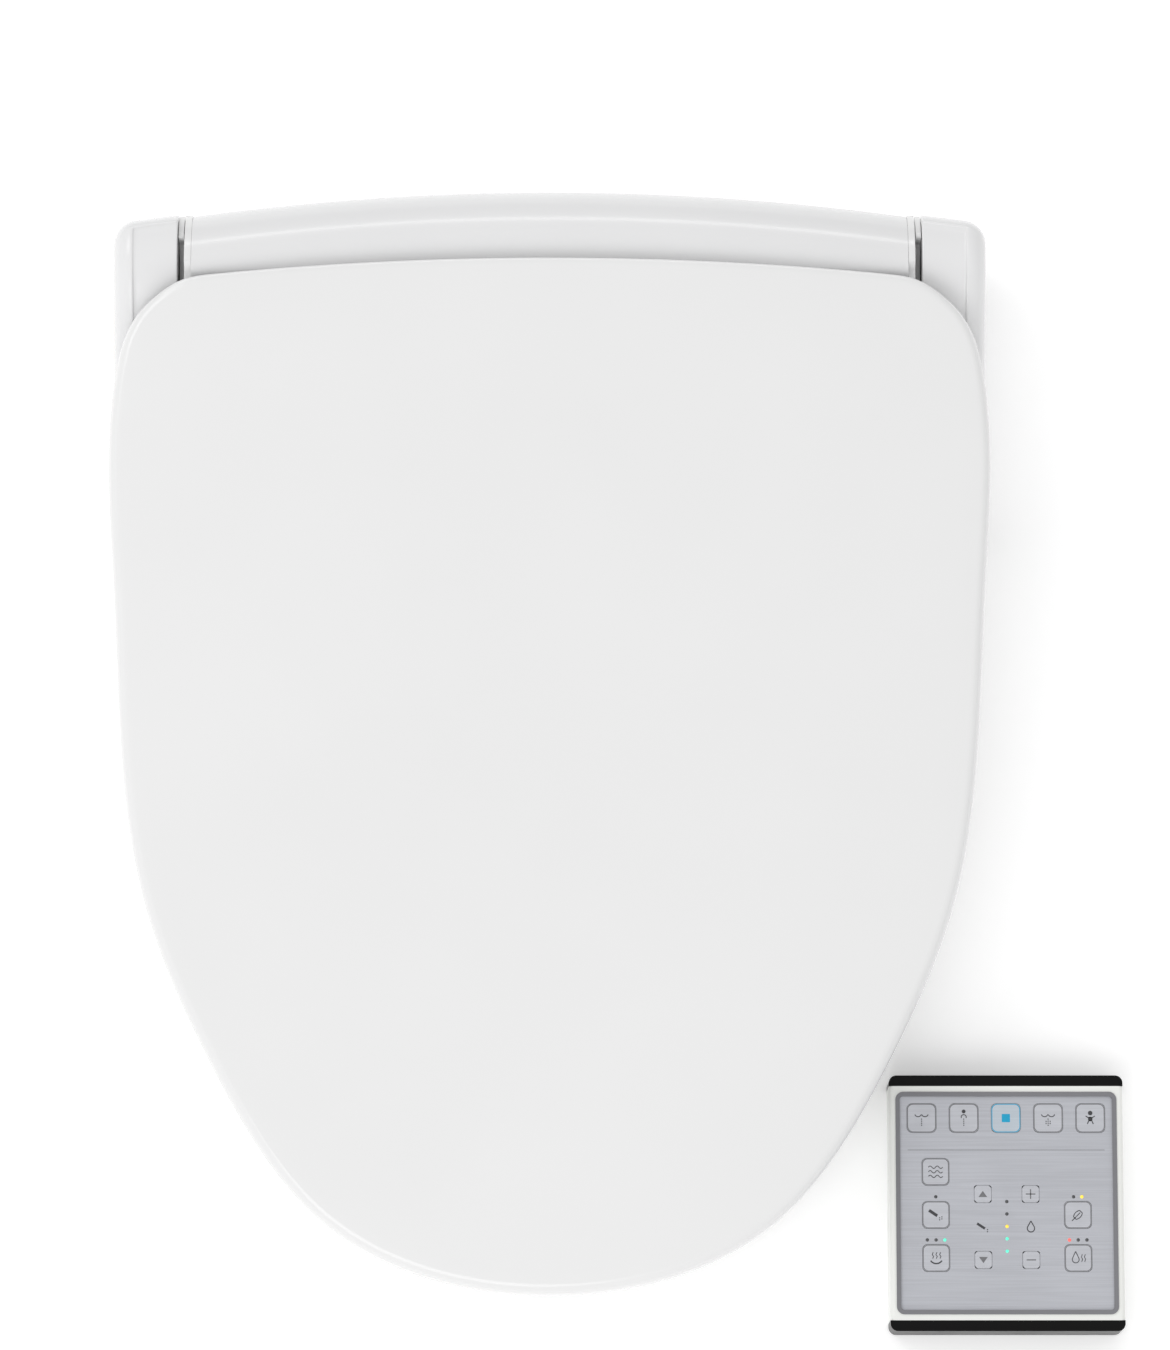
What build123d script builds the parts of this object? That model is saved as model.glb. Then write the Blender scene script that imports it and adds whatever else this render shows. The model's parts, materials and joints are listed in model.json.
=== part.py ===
from build123d import *
import math
import os

# Electric bidet seat with a loose wireless remote, in millimetres.
# Frame: +Z up, -Y to the front, +X to the right of someone who faces the seat from its front.
# Origin: midway between the two bowl bolts, on the plane where the seat rests on the bowl.
# "Forward" (f) is measured from the hinge axis towards the front, "up" (u) from the axis upwards.

os.makedirs("parts", exist_ok=True)

# ---- hinge line and overall shape ----
HINGE_Y = 32.0
HINGE_Z = 62.0
LID_SLOPE = math.tan(math.radians(5.0))
LID_TOP_UP = 37.8
LID_NOSE = 457.0
LID_SKIRT = 16.0
LID_REAR_LIP = 5.0
LID_SKIN = 3.0
LID_ROUND = 4.0
LID_PLAN_STEPS = 40
SEAT_ROUND = 3.0
WALL = 3.0

# ---- base ----
BASE_HALF = 190.5
BASE_REAR = -26.0
BASE_REAR_CORNER = -9.5
BASE_FRONT = 112.0
TRAY_BOTTOM = 4.0
TRAY_TOP = 30.0
DECK_TOP = 47.0
BAR_RADIUS = 28.5
BAR_FRONT = 26.0

# ---- hinge stack across the seat, one side, from the middle outwards ----
BAR_END = 156.0
CHEEK_IN = 156.4
CHEEK_OUT = 159.4
ARM_IN = 159.8
ARM_OUT = 162.1
POD_IN = 162.5
HINGE_BOSS = 12.5
PIN_RADIUS = 3.0
PIN_PLAY = 0.05

# ---- seat ring ----
SEAT_REAR = 33.0
SEAT_STEP = 118.0
SEAT_INSET = 4.0
SEAT_DROP = 17.0
SEAT_FLOOR = 8.0
SEAT_DECK_FLOOR = 50.0
TUNNEL_HALF = 48.0
OPENING_HALF = 106.0
OPENING_WIDEST = 255.0
OPENING_REAR = 145.0
OPENING_FRONT = 400.0

# ---- bowl mounting ----
BOLT_SPACING = 140.0
BOLT_SLOT_RADIUS = 4.5
BOLT_SLOT_LENGTH = 44.0

# ---- spray nozzle, which slides forward and down ----
NOZZLE_TILT = 10.0
NOZZLE_RADIUS = 5.0
NOZZLE_LENGTH = 125.0
NOZZLE_TIP = 16.0
NOZZLE_REST_Y = -70.0
NOZZLE_CROSS_Y = -78.0
NOZZLE_CROSS_Z = 23.0
BAY_HALF = 32.0
BAY_LOW = 12.0
FLAP_AXIS_Z = 41.0
FLAP_AXIS_F = 110.2

# ---- rack and pinion of the nozzle ----
GEAR_MODULE = 1.0
PINION_TEETH = 16
PINION_Y = -55.0
GEAR_PLAY = 0.16
ADDENDUM = 0.8
DEDENDUM = 1.1
GEAR_WIDTH = 4.0
RACK_PITCH_X = 9.0

# ---- water inlet, recessed in the left side ----
INLET_RADIUS = 10.48
INLET_Y = 12.0
INLET_Z = 20.0
INLET_WALL_X = -172.0
INLET_TIP_X = -187.0
INLET_ROOF_Z = 42.0

# ---- remote control ----
REMOTE_X = 199.0
REMOTE_Y = -382.0
REMOTE_W = 102.0
REMOTE_H = 111.5
REMOTE_BAND = 4.7
REMOTE_SPLIT_Z = 13.0
REMOTE_TOP_Z = 22.0
FACE_W = 92.6
FACE_H = 93.2
BEZEL = 1.9
FACE_Z = 21.3
FACE_PLATE = 0.8
KEY_GAP = 0.15
KEY_FOOT_Z = 15.9
BOARD_Z = 13.5
BOARD_THICK = 1.5
CELL_RADIUS = 5.25
CELL_LENGTH = 44.5


# ---------------------------------------------------------------- helpers

def side_face(points):
    """Face in the side view from points (forward, up) measured from the hinge axis."""
    corners = [(HINGE_Y - f, HINGE_Z + u) for f, u in points]
    return Plane.YZ * make_face(Polyline(*corners, close=True))


def across(face, x_low, x_high):
    """Extrude a side-view face from x_low to x_high."""
    return Pos(x_low, 0, 0) * extrude(face, amount=x_high - x_low, dir=(1, 0, 0))


def upright(face, z_low, z_high):
    """Extrude a plan face from z_low to z_high."""
    return Pos(0, 0, z_low) * extrude(face, amount=z_high - z_low)


def block(x_low, x_high, y_low, y_high, z_low, z_high):
    """Box between two corners."""
    size = (x_high - x_low, y_high - y_low, z_high - z_low)
    return Pos(x_low, y_low, z_low) * Box(*size, align=(Align.MIN, Align.MIN, Align.MIN))


def x_rod(radius, x_low, x_high, y, z):
    """Cylinder along X between two stations."""
    rod = Cylinder(radius, x_high - x_low, align=(Align.CENTER, Align.CENTER, Align.MIN))
    return Pos(x_low, y, z) * Rot(0, 90, 0) * rod


def z_rod(radius, x, y, z_low, z_high):
    """Upright cylinder."""
    rod = Cylinder(radius, z_high - z_low, align=(Align.CENTER, Align.CENTER, Align.MIN))
    return Pos(x, y, z_low) * rod


def forward_y(forward):
    """Y of a station measured forward from the hinge axis."""
    return HINGE_Y - forward


def lid_top_up(forward):
    """Height of the lid's top plane above the hinge axis."""
    return LID_TOP_UP - LID_SLOPE * forward


def top_face(solid):
    """Largest face that looks up."""
    return max(solid.faces(), key=lambda face: face.area if face.normal_at().Z > 0.5 else 0)


def both_sides(solid):
    """A right-hand solid together with its left-hand mirror image."""
    return Compound(children=[*solid.solids(), *mirror(solid, about=Plane.YZ).solids()])


def save(name, shape):
    """Write one sub-part as its own STEP file."""
    export_step(shape, f"parts/{name}.step")


# ---------------------------------------------------------------- outlines

def lid_plan(inset=0.0):
    """Plan of the lid: shallow rear arc, tight rear corners, tapering sides and a round nose."""
    rear_mid = 9.3
    corner = (160.0, 18.0)
    side = [corner, (179.0, 33.5), (189.6, 67.0), (191.6, 95.0), (189.0, 150.0), (184.6, 230.0),
            (175.0, 288.0), (146.4, 357.0), (96.0, 427.0), (0.0, LID_NOSE)]
    around = side + [(-x, f) for x, f in reversed(side[:-1])]
    rim = Spline(*[(x, forward_y(f)) for x, f in around])
    if inset:
        steps = [i / LID_PLAN_STEPS for i in range(LID_PLAN_STEPS + 1)]
        rim = Spline(*[rim.position_at(t) + rim.tangent_at(t).rotate(Axis.Z, -90) * inset for t in steps])
    rear = ThreePointArc(rim.position_at(1), (0, forward_y(rear_mid + inset)), rim.position_at(0))
    return make_face(rear + rim)


def base_plan(inset=0.0):
    """Plan of the base: bowed rear edge, straight sides and a straight front."""
    rear = ThreePointArc(
        (-BASE_HALF, forward_y(BASE_REAR_CORNER)),
        (0, forward_y(BASE_REAR)),
        (BASE_HALF, forward_y(BASE_REAR_CORNER)),
    )
    rest = Polyline(
        (BASE_HALF, forward_y(BASE_REAR_CORNER)),
        (BASE_HALF, forward_y(BASE_FRONT)),
        (-BASE_HALF, forward_y(BASE_FRONT)),
        (-BASE_HALF, forward_y(BASE_REAR_CORNER)),
    )
    face = make_face(rear + rest)
    face = fillet(face.vertices(), 9.0)
    return offset(face, -inset) if inset else face


def seat_opening(grow=0.0):
    """Egg-shaped opening of the seat ring: two half ellipses that meet at the widest place."""
    centre = (0, forward_y(OPENING_WIDEST))
    half = OPENING_HALF + grow
    back = OPENING_WIDEST - OPENING_REAR + grow
    fore = OPENING_FRONT - OPENING_WIDEST + grow
    rear = EllipticalCenterArc(centre, half, back, start_angle=0, arc_size=180)
    front = EllipticalCenterArc(centre, half, fore, start_angle=180, arc_size=180)
    return make_face(rear + front)


def seat_plan(inset=0.0):
    """Plan of the seat: the lid's outline drawn in, with a narrow tongue back to the hinge."""
    tongue = ARM_IN - inset
    hang = (Align.CENTER, Align.MAX)
    front = Pos(0, forward_y(SEAT_STEP + inset)) * Rectangle(600, 600, align=hang)
    neck = Pos(0, forward_y(SEAT_REAR + inset)) * Rectangle(2 * tongue, 120, align=hang)
    return lid_plan(SEAT_INSET + inset) & (front + neck)


# ---------------------------------------------------------------- lid

def lid_side(drop, skirt_end):
    """Side view of the lid below its top plane: thin lip over the hinge bar, deeper skirt in front."""
    far = LID_NOSE + 8
    lip = LID_REAR_LIP if skirt_end else 60
    skirt = LID_SKIRT if skirt_end else 60
    return side_face([
        (2, lid_top_up(2) - drop), (far, lid_top_up(far) - drop), (far, lid_top_up(far) - skirt),
        (38, lid_top_up(38) - skirt), (15, lid_top_up(15) - lip), (2, lid_top_up(2) - lip),
    ])


def make_lid_panel():
    """Hollow lid with a rounded top edge, open underneath."""
    outer = upright(lid_plan(), 20, 120) & across(lid_side(0, True), -220, 220)
    outer = fillet(top_face(outer).edges(), LID_ROUND)
    inner = upright(lid_plan(LID_SKIN), 10, 120) & across(lid_side(LID_SKIN, False), -220, 220)
    return outer - inner


def make_lid_hinge_arms():
    """Two cheeks at the ends of the hinge bar, each with a foot that is glued under the lid."""
    up = lid_top_up
    rear_top = up(23) - LID_SKIN
    front_top = up(52) - LID_SKIN
    neck = side_face([
        (0, 0), (0, 24), (23, 26.5), (23, rear_top), (52, front_top), (52, front_top - 5),
        (36, 20.5), (31, 20.5), (27, 6),
    ])
    foot = side_face([(23, rear_top), (52, front_top), (52, front_top - 2.5), (23, rear_top - 2.5)])
    crown = x_rod(BAR_RADIUS - 0.3, CHEEK_IN, CHEEK_OUT, HINGE_Y, HINGE_Z)
    crown &= across(side_face([(-14.3, 0), (-14.3, 40), (40, 40), (40, 0)]), CHEEK_IN, CHEEK_OUT)
    boss = x_rod(HINGE_BOSS, CHEEK_IN, CHEEK_OUT, HINGE_Y, HINGE_Z)
    cheek = crown + boss + across(neck, CHEEK_IN, CHEEK_OUT)
    arm = cheek + across(foot, CHEEK_IN - 16, CHEEK_OUT)
    arm -= x_rod(PIN_RADIUS + PIN_PLAY, CHEEK_IN - 1, CHEEK_OUT + 1, HINGE_Y, HINGE_Z)
    return both_sides(arm)


def make_lid_bumpers():
    """Four soft pads on pegs under the lid, which rest on the seat when both are shut."""
    pads = []
    for x, forward in ((150.0, 170.0), (118.0, 370.0)):
        top = HINGE_Z + lid_top_up(forward) - LID_SKIN - 1.0
        low = HINGE_Z + lid_top_up(forward) - SEAT_DROP + 1.4
        pads.append(z_rod(6, x, forward_y(forward), low, top))
    return both_sides(Compound(children=pads))


# ---------------------------------------------------------------- seat

def seat_side(drop, floor_lift):
    """Side view of the seat: top parallel to the lid, shallow over the base and deep in front."""
    far = LID_NOSE + 8
    rear = SEAT_REAR - 3
    deck = SEAT_DECK_FLOOR - HINGE_Z + floor_lift
    floor = SEAT_FLOOR - HINGE_Z + floor_lift
    top = SEAT_DROP + drop
    return side_face([
        (rear, lid_top_up(rear) - top), (far, lid_top_up(far) - top), (far, floor),
        (SEAT_STEP + floor_lift * 0.1, floor), (SEAT_STEP + floor_lift * 0.1, deck), (rear, deck),
    ])


def nozzle_tunnel(grow):
    """Tunnel under the seat's rear bar, where the nozzle comes out over the bowl."""
    half = TUNNEL_HALF + grow
    return block(
        -half, half, forward_y(OPENING_WIDEST), forward_y(BASE_FRONT), 0, SEAT_DECK_FLOOR + grow
    )


def seat_cavity(drop, floor_lift):
    """Hollow inside the seat ring."""
    plan = seat_plan(WALL) - seat_opening(WALL)
    hollow = upright(plan, 0, 110) & across(seat_side(drop, floor_lift), -220, 220)
    return hollow - nozzle_tunnel(WALL)


def make_seat_top_shell():
    """Seat ring shell: top skin and skirts, open underneath."""
    plan = seat_plan() - seat_opening()
    outer = upright(plan, 0, 110) & across(seat_side(0, 0), -220, 220)
    outer = fillet(top_face(outer).edges(), SEAT_ROUND) - nozzle_tunnel(0)
    return outer - seat_cavity(WALL, -20)


def make_seat_bottom_plate():
    """Plate that closes the seat ring from below, between the skirts."""
    return seat_cavity(WALL, 0) - seat_cavity(WALL, WALL)


def make_seat_heater_foil():
    """Thin heating foil glued under the seat's top skin."""
    plan = seat_plan(12) - seat_opening(12)
    ring = upright(plan, 0, 110) & upright(Pos(0, forward_y(SEAT_STEP + 10)) * Rectangle(
        600, 600, align=(Align.CENTER, Align.MAX)), 0, 110)
    band = across(seat_side(WALL, 0), -220, 220) - across(seat_side(WALL + 0.8, 0), -220, 220)
    return ring & band


def make_seat_bumpers():
    """Four rubber bumpers under the seat ring, which stand on the bowl."""
    pads = [
        z_rod(9, x, forward_y(forward), 0, SEAT_FLOOR)
        for x, forward in ((146.0, 165.0), (104.0, 385.0))
    ]
    return both_sides(Compound(children=pads))


def make_seat_hinge_arms():
    """Two thin arms beside the lid's cheeks, with a tab that fills the rear of the slot."""
    boss = x_rod(HINGE_BOSS, ARM_IN, ARM_OUT, HINGE_Y, HINGE_Z)
    web = across(side_face([(0, -11), (0, 11), (66, 9), (66, -11)]), ARM_IN, ARM_OUT)
    filler = x_rod(BAR_RADIUS, ARM_IN, ARM_OUT, HINGE_Y, HINGE_Z)
    filler &= across(side_face([(-14, 0), (-14, 40), (-2, 40), (-2, 0)]), ARM_IN, ARM_OUT)
    arm = boss + web + filler
    arm -= x_rod(PIN_RADIUS + PIN_PLAY, ARM_IN - 1, ARM_OUT + 1, HINGE_Y, HINGE_Z)
    return both_sides(arm)


# ---------------------------------------------------------------- base

def make_base_tray():
    """Lower pan of the base, with the inlet recess, nozzle bay, gland hole and screw holes."""
    pan = upright(base_plan(), TRAY_BOTTOM, TRAY_TOP)
    pan -= upright(base_plan(WALL), TRAY_BOTTOM + WALL, TRAY_TOP + 1)
    front = forward_y(BASE_FRONT)
    pan -= block(-BAY_HALF, BAY_HALF, front - 1, front + WALL + 1, BAY_LOW, TRAY_TOP + 1)
    pan = pan - inlet_recess(0) + inlet_walls(TRAY_BOTTOM, TRAY_TOP)
    pan -= x_rod(INLET_RADIUS - 3.0, INLET_WALL_X - 1, INLET_WALL_X + 5, INLET_Y, INLET_Z)
    pan -= gland_bore()
    for x, y in screw_places():
        pan -= z_rod(1.6, x, y, TRAY_BOTTOM - 1, TRAY_BOTTOM + WALL + 1)
        pan -= z_rod(3.2, x, y, TRAY_BOTTOM - 1, TRAY_BOTTOM + 1.6)
    return pan


def inlet_recess(grow):
    """Recess in the left side around the water inlet, open below; grow adds its walls."""
    return block(
        -BASE_HALF - 1, INLET_WALL_X + grow, INLET_Y - 20 - grow, INLET_Y + 20 + grow,
        TRAY_BOTTOM - 1, INLET_ROOF_Z + grow,
    )


def inlet_walls(z_low, z_high):
    """Walls and roof of the inlet recess between two heights."""
    walls = inlet_recess(WALL) - inlet_recess(0)
    return walls & upright(base_plan(), z_low, z_high)


def screw_places():
    """Casing screws, in from the corners of the tray."""
    return [(x, y) for x in (-148.0, 148.0) for y in (-66.0, 34.0)]


def gland_bore():
    """Hole for the cord gland in the right side of the tray."""
    return x_rod(7.0, BASE_HALF - 5, BASE_HALF + 1, 24.0, 17.0)


def make_casing_screws():
    """Countersunk casing screws, heads up inside the tray's underside."""
    screws = []
    for x, y in screw_places():
        head = z_rod(3.1, x, y, TRAY_BOTTOM + 0.1, TRAY_BOTTOM + 1.6)
        shank = z_rod(1.5, x, y, TRAY_BOTTOM + 1.6, TRAY_BOTTOM + 14)
        cross = block(x - 2, x + 2, y - 0.4, y + 0.4, TRAY_BOTTOM, TRAY_BOTTOM + 0.8)
        screws.append(head + shank - cross)
    return Compound(children=screws)


def make_cord_gland():
    """Rubber collar where the mains lead enters."""
    collar = x_rod(7.0, BASE_HALF - WALL, BASE_HALF - 0.2, 24.0, 17.0)
    flange = x_rod(9.0, BASE_HALF - WALL - 2, BASE_HALF - WALL, 24.0, 17.0)
    return collar + flange - x_rod(3.6, BASE_HALF - 10, BASE_HALF + 1, 24.0, 17.0)


def make_base_feet():
    """Rubber pads under the tray, as thick as the mounting plate."""
    pads = [z_rod(9, x, y, 0, TRAY_BOTTOM) for x, y in ((166.0, -62.0), (150.0, 18.0))]
    return both_sides(Compound(children=pads))


def make_mounting_plate():
    """Plate that is bolted to the bowl; the base slides onto it from the front."""
    plate = upright(fillet((Pos(0, 4) * Rectangle(206, 62)).vertices(), 8), 0, TRAY_BOTTOM)
    for x in (-BOLT_SPACING / 2, BOLT_SPACING / 2):
        slot = SlotOverall(BOLT_SLOT_LENGTH, 2 * BOLT_SLOT_RADIUS)
        plate -= upright(Pos(x, 0) * slot, -1, TRAY_BOTTOM + 1)
    plate -= block(-22, 22, -10, 20, -1, TRAY_BOTTOM + 1)
    return plate


def make_base_deck():
    """Low cover in front of the hinge bar, under the seat's tongue, with the nozzle bay's cheeks."""
    rear, front = forward_y(BAR_FRONT), forward_y(BASE_FRONT)
    deck = block(-POD_IN, POD_IN, front, rear, TRAY_TOP, DECK_TOP)
    deck -= block(-POD_IN + WALL, POD_IN - WALL, front + WALL, rear + 1, TRAY_TOP - 1, DECK_TOP - WALL)
    deck -= block(-BAY_HALF, BAY_HALF, front - 1, front + WALL + 1, TRAY_TOP - 1, FLAP_AXIS_Z + 2.6)
    cheek = block(BAY_HALF, BAY_HALF + WALL, front, front + 10, TRAY_TOP, DECK_TOP - WALL)
    deck += both_sides(cheek)
    flap_y = forward_y(FLAP_AXIS_F)
    deck -= x_rod(1.25, -BAY_HALF - WALL - 1, BAY_HALF + WALL + 1, flap_y, FLAP_AXIS_Z)
    return deck


def bar_side(inset, open_below):
    """Side view of the hinge bar cover: a round top about the hinge axis on a straight skirt."""
    radius = BAR_RADIUS - inset
    low = TRAY_TOP - HINGE_Z - (5 if open_below else 0)
    rear, front = BASE_REAR - 2 + inset, BAR_FRONT - inset
    rear_up = math.sqrt(radius ** 2 - min(abs(rear), radius * 0.94) ** 2)
    rear = -math.sqrt(radius ** 2 - rear_up ** 2)
    front_up = math.sqrt(radius ** 2 - front ** 2)
    start = (HINGE_Y - rear, HINGE_Z + rear_up)
    end = (HINGE_Y - front, HINGE_Z + front_up)
    dome = ThreePointArc(start, (HINGE_Y, HINGE_Z + radius), end)
    skirt = Polyline(end, (end[0], HINGE_Z + low), (start[0], HINGE_Z + low), start)
    return Plane.YZ * make_face(dome + skirt)


def make_hinge_bar_cover():
    """Convex cover over the hinge line between the two pods."""
    inside = BAR_END - WALL
    outer = across(bar_side(0, False), -BAR_END, BAR_END) & upright(base_plan(), TRAY_TOP, 110)
    inner = across(bar_side(WALL, True), -inside, inside) & upright(base_plan(WALL), 20, 110)
    cover = outer - inner
    cover -= block(-inside, inside, forward_y(BAR_FRONT) - 1, forward_y(0), TRAY_TOP - 1, DECK_TOP)
    cover -= x_rod(PIN_RADIUS, -BAR_END - 1, BAR_END + 1, HINGE_Y, HINGE_Z)
    return cover


def pod_body(inset, open_below):
    """Right-hand pod: side view, plan and front view cut from one block."""
    up = [(BASE_REAR_CORNER - 6, 22), (-3, 28.2), (9, 27), (20, 20), (40, 14), (84, 8), (BASE_FRONT, 0)]
    low = TRAY_TOP - HINGE_Z - (5 if open_below else 0)
    side = side_face([(BASE_REAR - 4, low), (BASE_REAR - 4, 12), *up, (BASE_FRONT, low)])
    section = Plane.XZ * make_face(Polyline(
        (POD_IN, HINGE_Z + low), (POD_IN, HINGE_Z + 40), (181, HINGE_Z + 40), (181, HINGE_Z + 26),
        (187, HINGE_Z + 18), (BASE_HALF, HINGE_Z + 4), (BASE_HALF, HINGE_Z + low), close=True))
    if inset:
        side = offset(side, -inset)
        section = offset(section, -inset)
    body = across(side, 0, 220) & extrude(section, amount=300, both=True)
    return body & upright(base_plan(inset), 0, 130)


def make_pod_cover():
    """Hollow right-hand pod, closed towards the slot, with the hinge pin's bearing hole."""
    inner = pod_body(WALL, True)
    cover = pod_body(0, False) - inner - Pos(0, 0, -6) * inner
    return cover - x_rod(PIN_RADIUS, POD_IN - 1, POD_IN + WALL + 1, HINGE_Y, HINGE_Z)


def release_bore():
    """Hole for the release button in the right-hand pod."""
    return x_rod(8.15, BASE_HALF - 8, BASE_HALF + 2, -30.0, 44.0)


def make_hinge_pins():
    """Steel pins on the hinge axis, held in the bar's end wall and in the pod's inner wall."""
    return both_sides(x_rod(PIN_RADIUS, BAR_END - WALL - 3, POD_IN + WALL + 3, HINGE_Y, HINGE_Z))


def make_damper(x_low, x_high):
    """Soft-close damper: a rotary cartridge with a mounting ear."""
    drum = x_rod(10.0, x_low, x_high, HINGE_Y, HINGE_Z)
    ear = block(x_low, x_low + 3, HINGE_Y - 6, HINGE_Y + 6, HINGE_Z - 16, HINGE_Z + 16)
    return drum + ear


def make_release_button():
    """Round button on the right side that frees the base from its mounting plate."""
    cap = x_rod(8.0, BASE_HALF - 5.5, BASE_HALF - 0.2, -30.0, 44.0)
    stem = x_rod(3.0, BASE_HALF - 14, BASE_HALF - 5.5, -30.0, 44.0)
    return cap + stem


# ---------------------------------------------------------------- water path and electrics

def make_inlet_nipple():
    """Threaded stub with a flange and a clamping nut inside the recess wall."""
    stub = x_rod(INLET_RADIUS, INLET_TIP_X, INLET_WALL_X - 2, INLET_Y, INLET_Z)
    flange = x_rod(13.0, INLET_WALL_X - 2, INLET_WALL_X, INLET_Y, INLET_Z)
    neck = x_rod(INLET_RADIUS - 3.2, INLET_WALL_X, INLET_WALL_X + 12, INLET_Y, INLET_Z)
    bore = x_rod(4.0, INLET_TIP_X - 1, INLET_WALL_X + 13, INLET_Y, INLET_Z)
    return stub + flange + neck - bore


def make_inlet_filter():
    """Cylindrical strainer behind the inlet."""
    return x_rod(9.0, INLET_WALL_X + 12, INLET_WALL_X + 30, INLET_Y, INLET_Z)


def make_solenoid_valve():
    """Valve block with its coil on top."""
    x = INLET_WALL_X + 36
    body = block(x, x + 30, INLET_Y - 10, INLET_Y + 10, 10, 27)
    return body + block(x + 5, x + 25, INLET_Y - 7, INLET_Y + 7, 27, 41)


def make_water_tubes():
    """Short hoses from filter to valve, valve to heater and heater to nozzle feed."""
    first = x_rod(3.5, INLET_WALL_X + 30, INLET_WALL_X + 36, INLET_Y, 20)
    second = x_rod(3.5, INLET_WALL_X + 66, -94.0, INLET_Y, 20)
    third = x_rod(3.5, -36.0, -14.0, -10.0, 16)
    return Compound(children=[first, second, third])


def make_heater_tank():
    """Instant water heater, a flat tank with rounded long edges."""
    tank = block(-94, -36, -62, 20, 9, 40)
    return fillet(tank.edges().filter_by(Axis.Y), 6)


def make_power_supply():
    """Mains power supply with a finned lid."""
    box = block(36, 84, -62, 16, 8, 32)
    fins = [block(38 + 7 * i, 41 + 7 * i, -58, 12, 32, 38) for i in range(7)]
    for fin in fins:
        box += fin
    return box


def make_control_board():
    """Control board with a few tall parts on it."""
    board = block(92, 152, -58, 18, 12, 13.6)
    for x, y, height in ((100, -50, 12), (118, -50, 8), (100, -20, 16), (126, -20, 10), (110, 4, 9)):
        board += block(x, x + 12, y, y + 12, 13.6, 13.6 + height)
    return board


# ---------------------------------------------------------------- nozzle

def nozzle_station(y):
    """Plane across the nozzle at a given y: local Z runs forward along its axis, local X is +X."""
    tilt = math.radians(NOZZLE_TILT)
    z = NOZZLE_CROSS_Z + (y - NOZZLE_CROSS_Y) * math.tan(tilt)
    return Plane(origin=(0, y, z), x_dir=(1, 0, 0), z_dir=(0, -math.cos(tilt), -math.sin(tilt)))


def along(y_low, y_high):
    """Length along the nozzle between two y stations."""
    return (y_high - y_low) / math.cos(math.radians(NOZZLE_TILT))


def make_nozzle_tube():
    """Steel spray tube."""
    length = NOZZLE_LENGTH - NOZZLE_TIP
    tube = Cylinder(NOZZLE_RADIUS, length, align=(Align.CENTER, Align.CENTER, Align.MAX))
    bore = Cylinder(3.0, length + 2, align=(Align.CENTER, Align.CENTER, Align.MAX))
    return nozzle_station(NOZZLE_REST_Y) * Pos(0, 0, -NOZZLE_TIP) * (tube - Pos(0, 0, 1) * bore)


def make_nozzle_tip():
    """Spray head with a rounded nose and two jets on its upper side."""
    head = Cylinder(NOZZLE_RADIUS, NOZZLE_TIP, align=(Align.CENTER, Align.CENTER, Align.MAX))
    head = fillet(head.edges().sort_by(Axis.Z)[-1], 3.0)
    plug = Pos(0, 0, -NOZZLE_TIP) * Cylinder(3.0, 4, align=(Align.CENTER, Align.CENTER, Align.MAX))
    for back in (6.0, 10.5):
        head -= Pos(0, -3, -back) * Rot(90, 0, 0) * Cylinder(0.7, 8)
    return nozzle_station(NOZZLE_REST_Y) * (head + plug)


def tooth_half_angle(radius):
    """Half angle of an involute pinion tooth at a radius, for a 20 degree rack."""
    pitch_radius = GEAR_MODULE * PINION_TEETH / 2
    pressure = math.radians(20)
    base_radius = pitch_radius * math.cos(pressure)
    at_radius = math.acos(min(1.0, base_radius / radius))
    half_width = (math.pi * GEAR_MODULE / 2 - GEAR_PLAY) / 2
    spread = (math.tan(pressure) - pressure) - (math.tan(at_radius) - at_radius)
    return half_width / pitch_radius + spread


def make_pinion():
    """Pinion beside the nozzle, one with its shaft; one tooth points at the rack at rest."""
    pitch_radius = GEAR_MODULE * PINION_TEETH / 2
    root = pitch_radius - DEDENDUM
    radii = [root - 0.4, root + 0.65, pitch_radius, pitch_radius + ADDENDUM]
    gear = Cylinder(root, GEAR_WIDTH)
    for i in range(PINION_TEETH):
        turn = math.pi + 2 * math.pi * i / PINION_TEETH
        left = [(r, tooth_half_angle(r)) for r in radii]
        right = [(r, -tooth_half_angle(r)) for r in reversed(radii)]
        corners = [(r * math.cos(turn + a), r * math.sin(turn + a)) for r, a in left + right]
        gear += extrude(make_face(Polyline(*corners, close=True)), amount=GEAR_WIDTH / 2, both=True)
    gear += Pos(0, 0, -6) * Cylinder(1.5, 12)
    return pinion_place() * gear


def pinion_place():
    """Plane at the pinion's centre: local Z along its shaft, square to the nozzle."""
    tilt = math.radians(NOZZLE_TILT)
    on_axis = nozzle_station(PINION_Y)
    origin = on_axis.origin + Vector(RACK_PITCH_X + GEAR_MODULE * PINION_TEETH / 2, 0, 0)
    return Plane(origin=origin, x_dir=(1, 0, 0), z_dir=(0, -math.sin(tilt), math.cos(tilt)))


def make_nozzle_rack():
    """Toothed rack on the right side of the spray tube, in mesh with the pinion at rest."""
    pitch = math.pi * GEAR_MODULE
    tan_flank = math.tan(math.radians(20))
    half = (pitch / 2 - GEAR_PLAY) / 2
    behind = 29
    root_x = RACK_PITCH_X - DEDENDUM
    tip_x = RACK_PITCH_X + ADDENDUM
    corners = []
    for i in range(-2, behind):
        middle = -(i + 0.5) * pitch
        for x, side in ((root_x, 1), (tip_x, 1), (tip_x, -1), (root_x, -1)):
            width = half - (x - RACK_PITCH_X) * tan_flank
            corners.append((x, middle + side * width))
    low = -(behind + 0.5) * pitch
    high = 2.5 * pitch
    back_x = NOZZLE_RADIUS - 1.6
    corners += [(root_x, low), (back_x, low), (back_x, high), (root_x, high)]
    teeth = extrude(make_face(Polyline(*corners, close=True)), amount=GEAR_WIDTH / 2 - 0.2, both=True)
    bar = Rot(90, 0, 0) * teeth - Cylinder(NOZZLE_RADIUS, 400)
    return nozzle_station(PINION_Y) * bar


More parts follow.
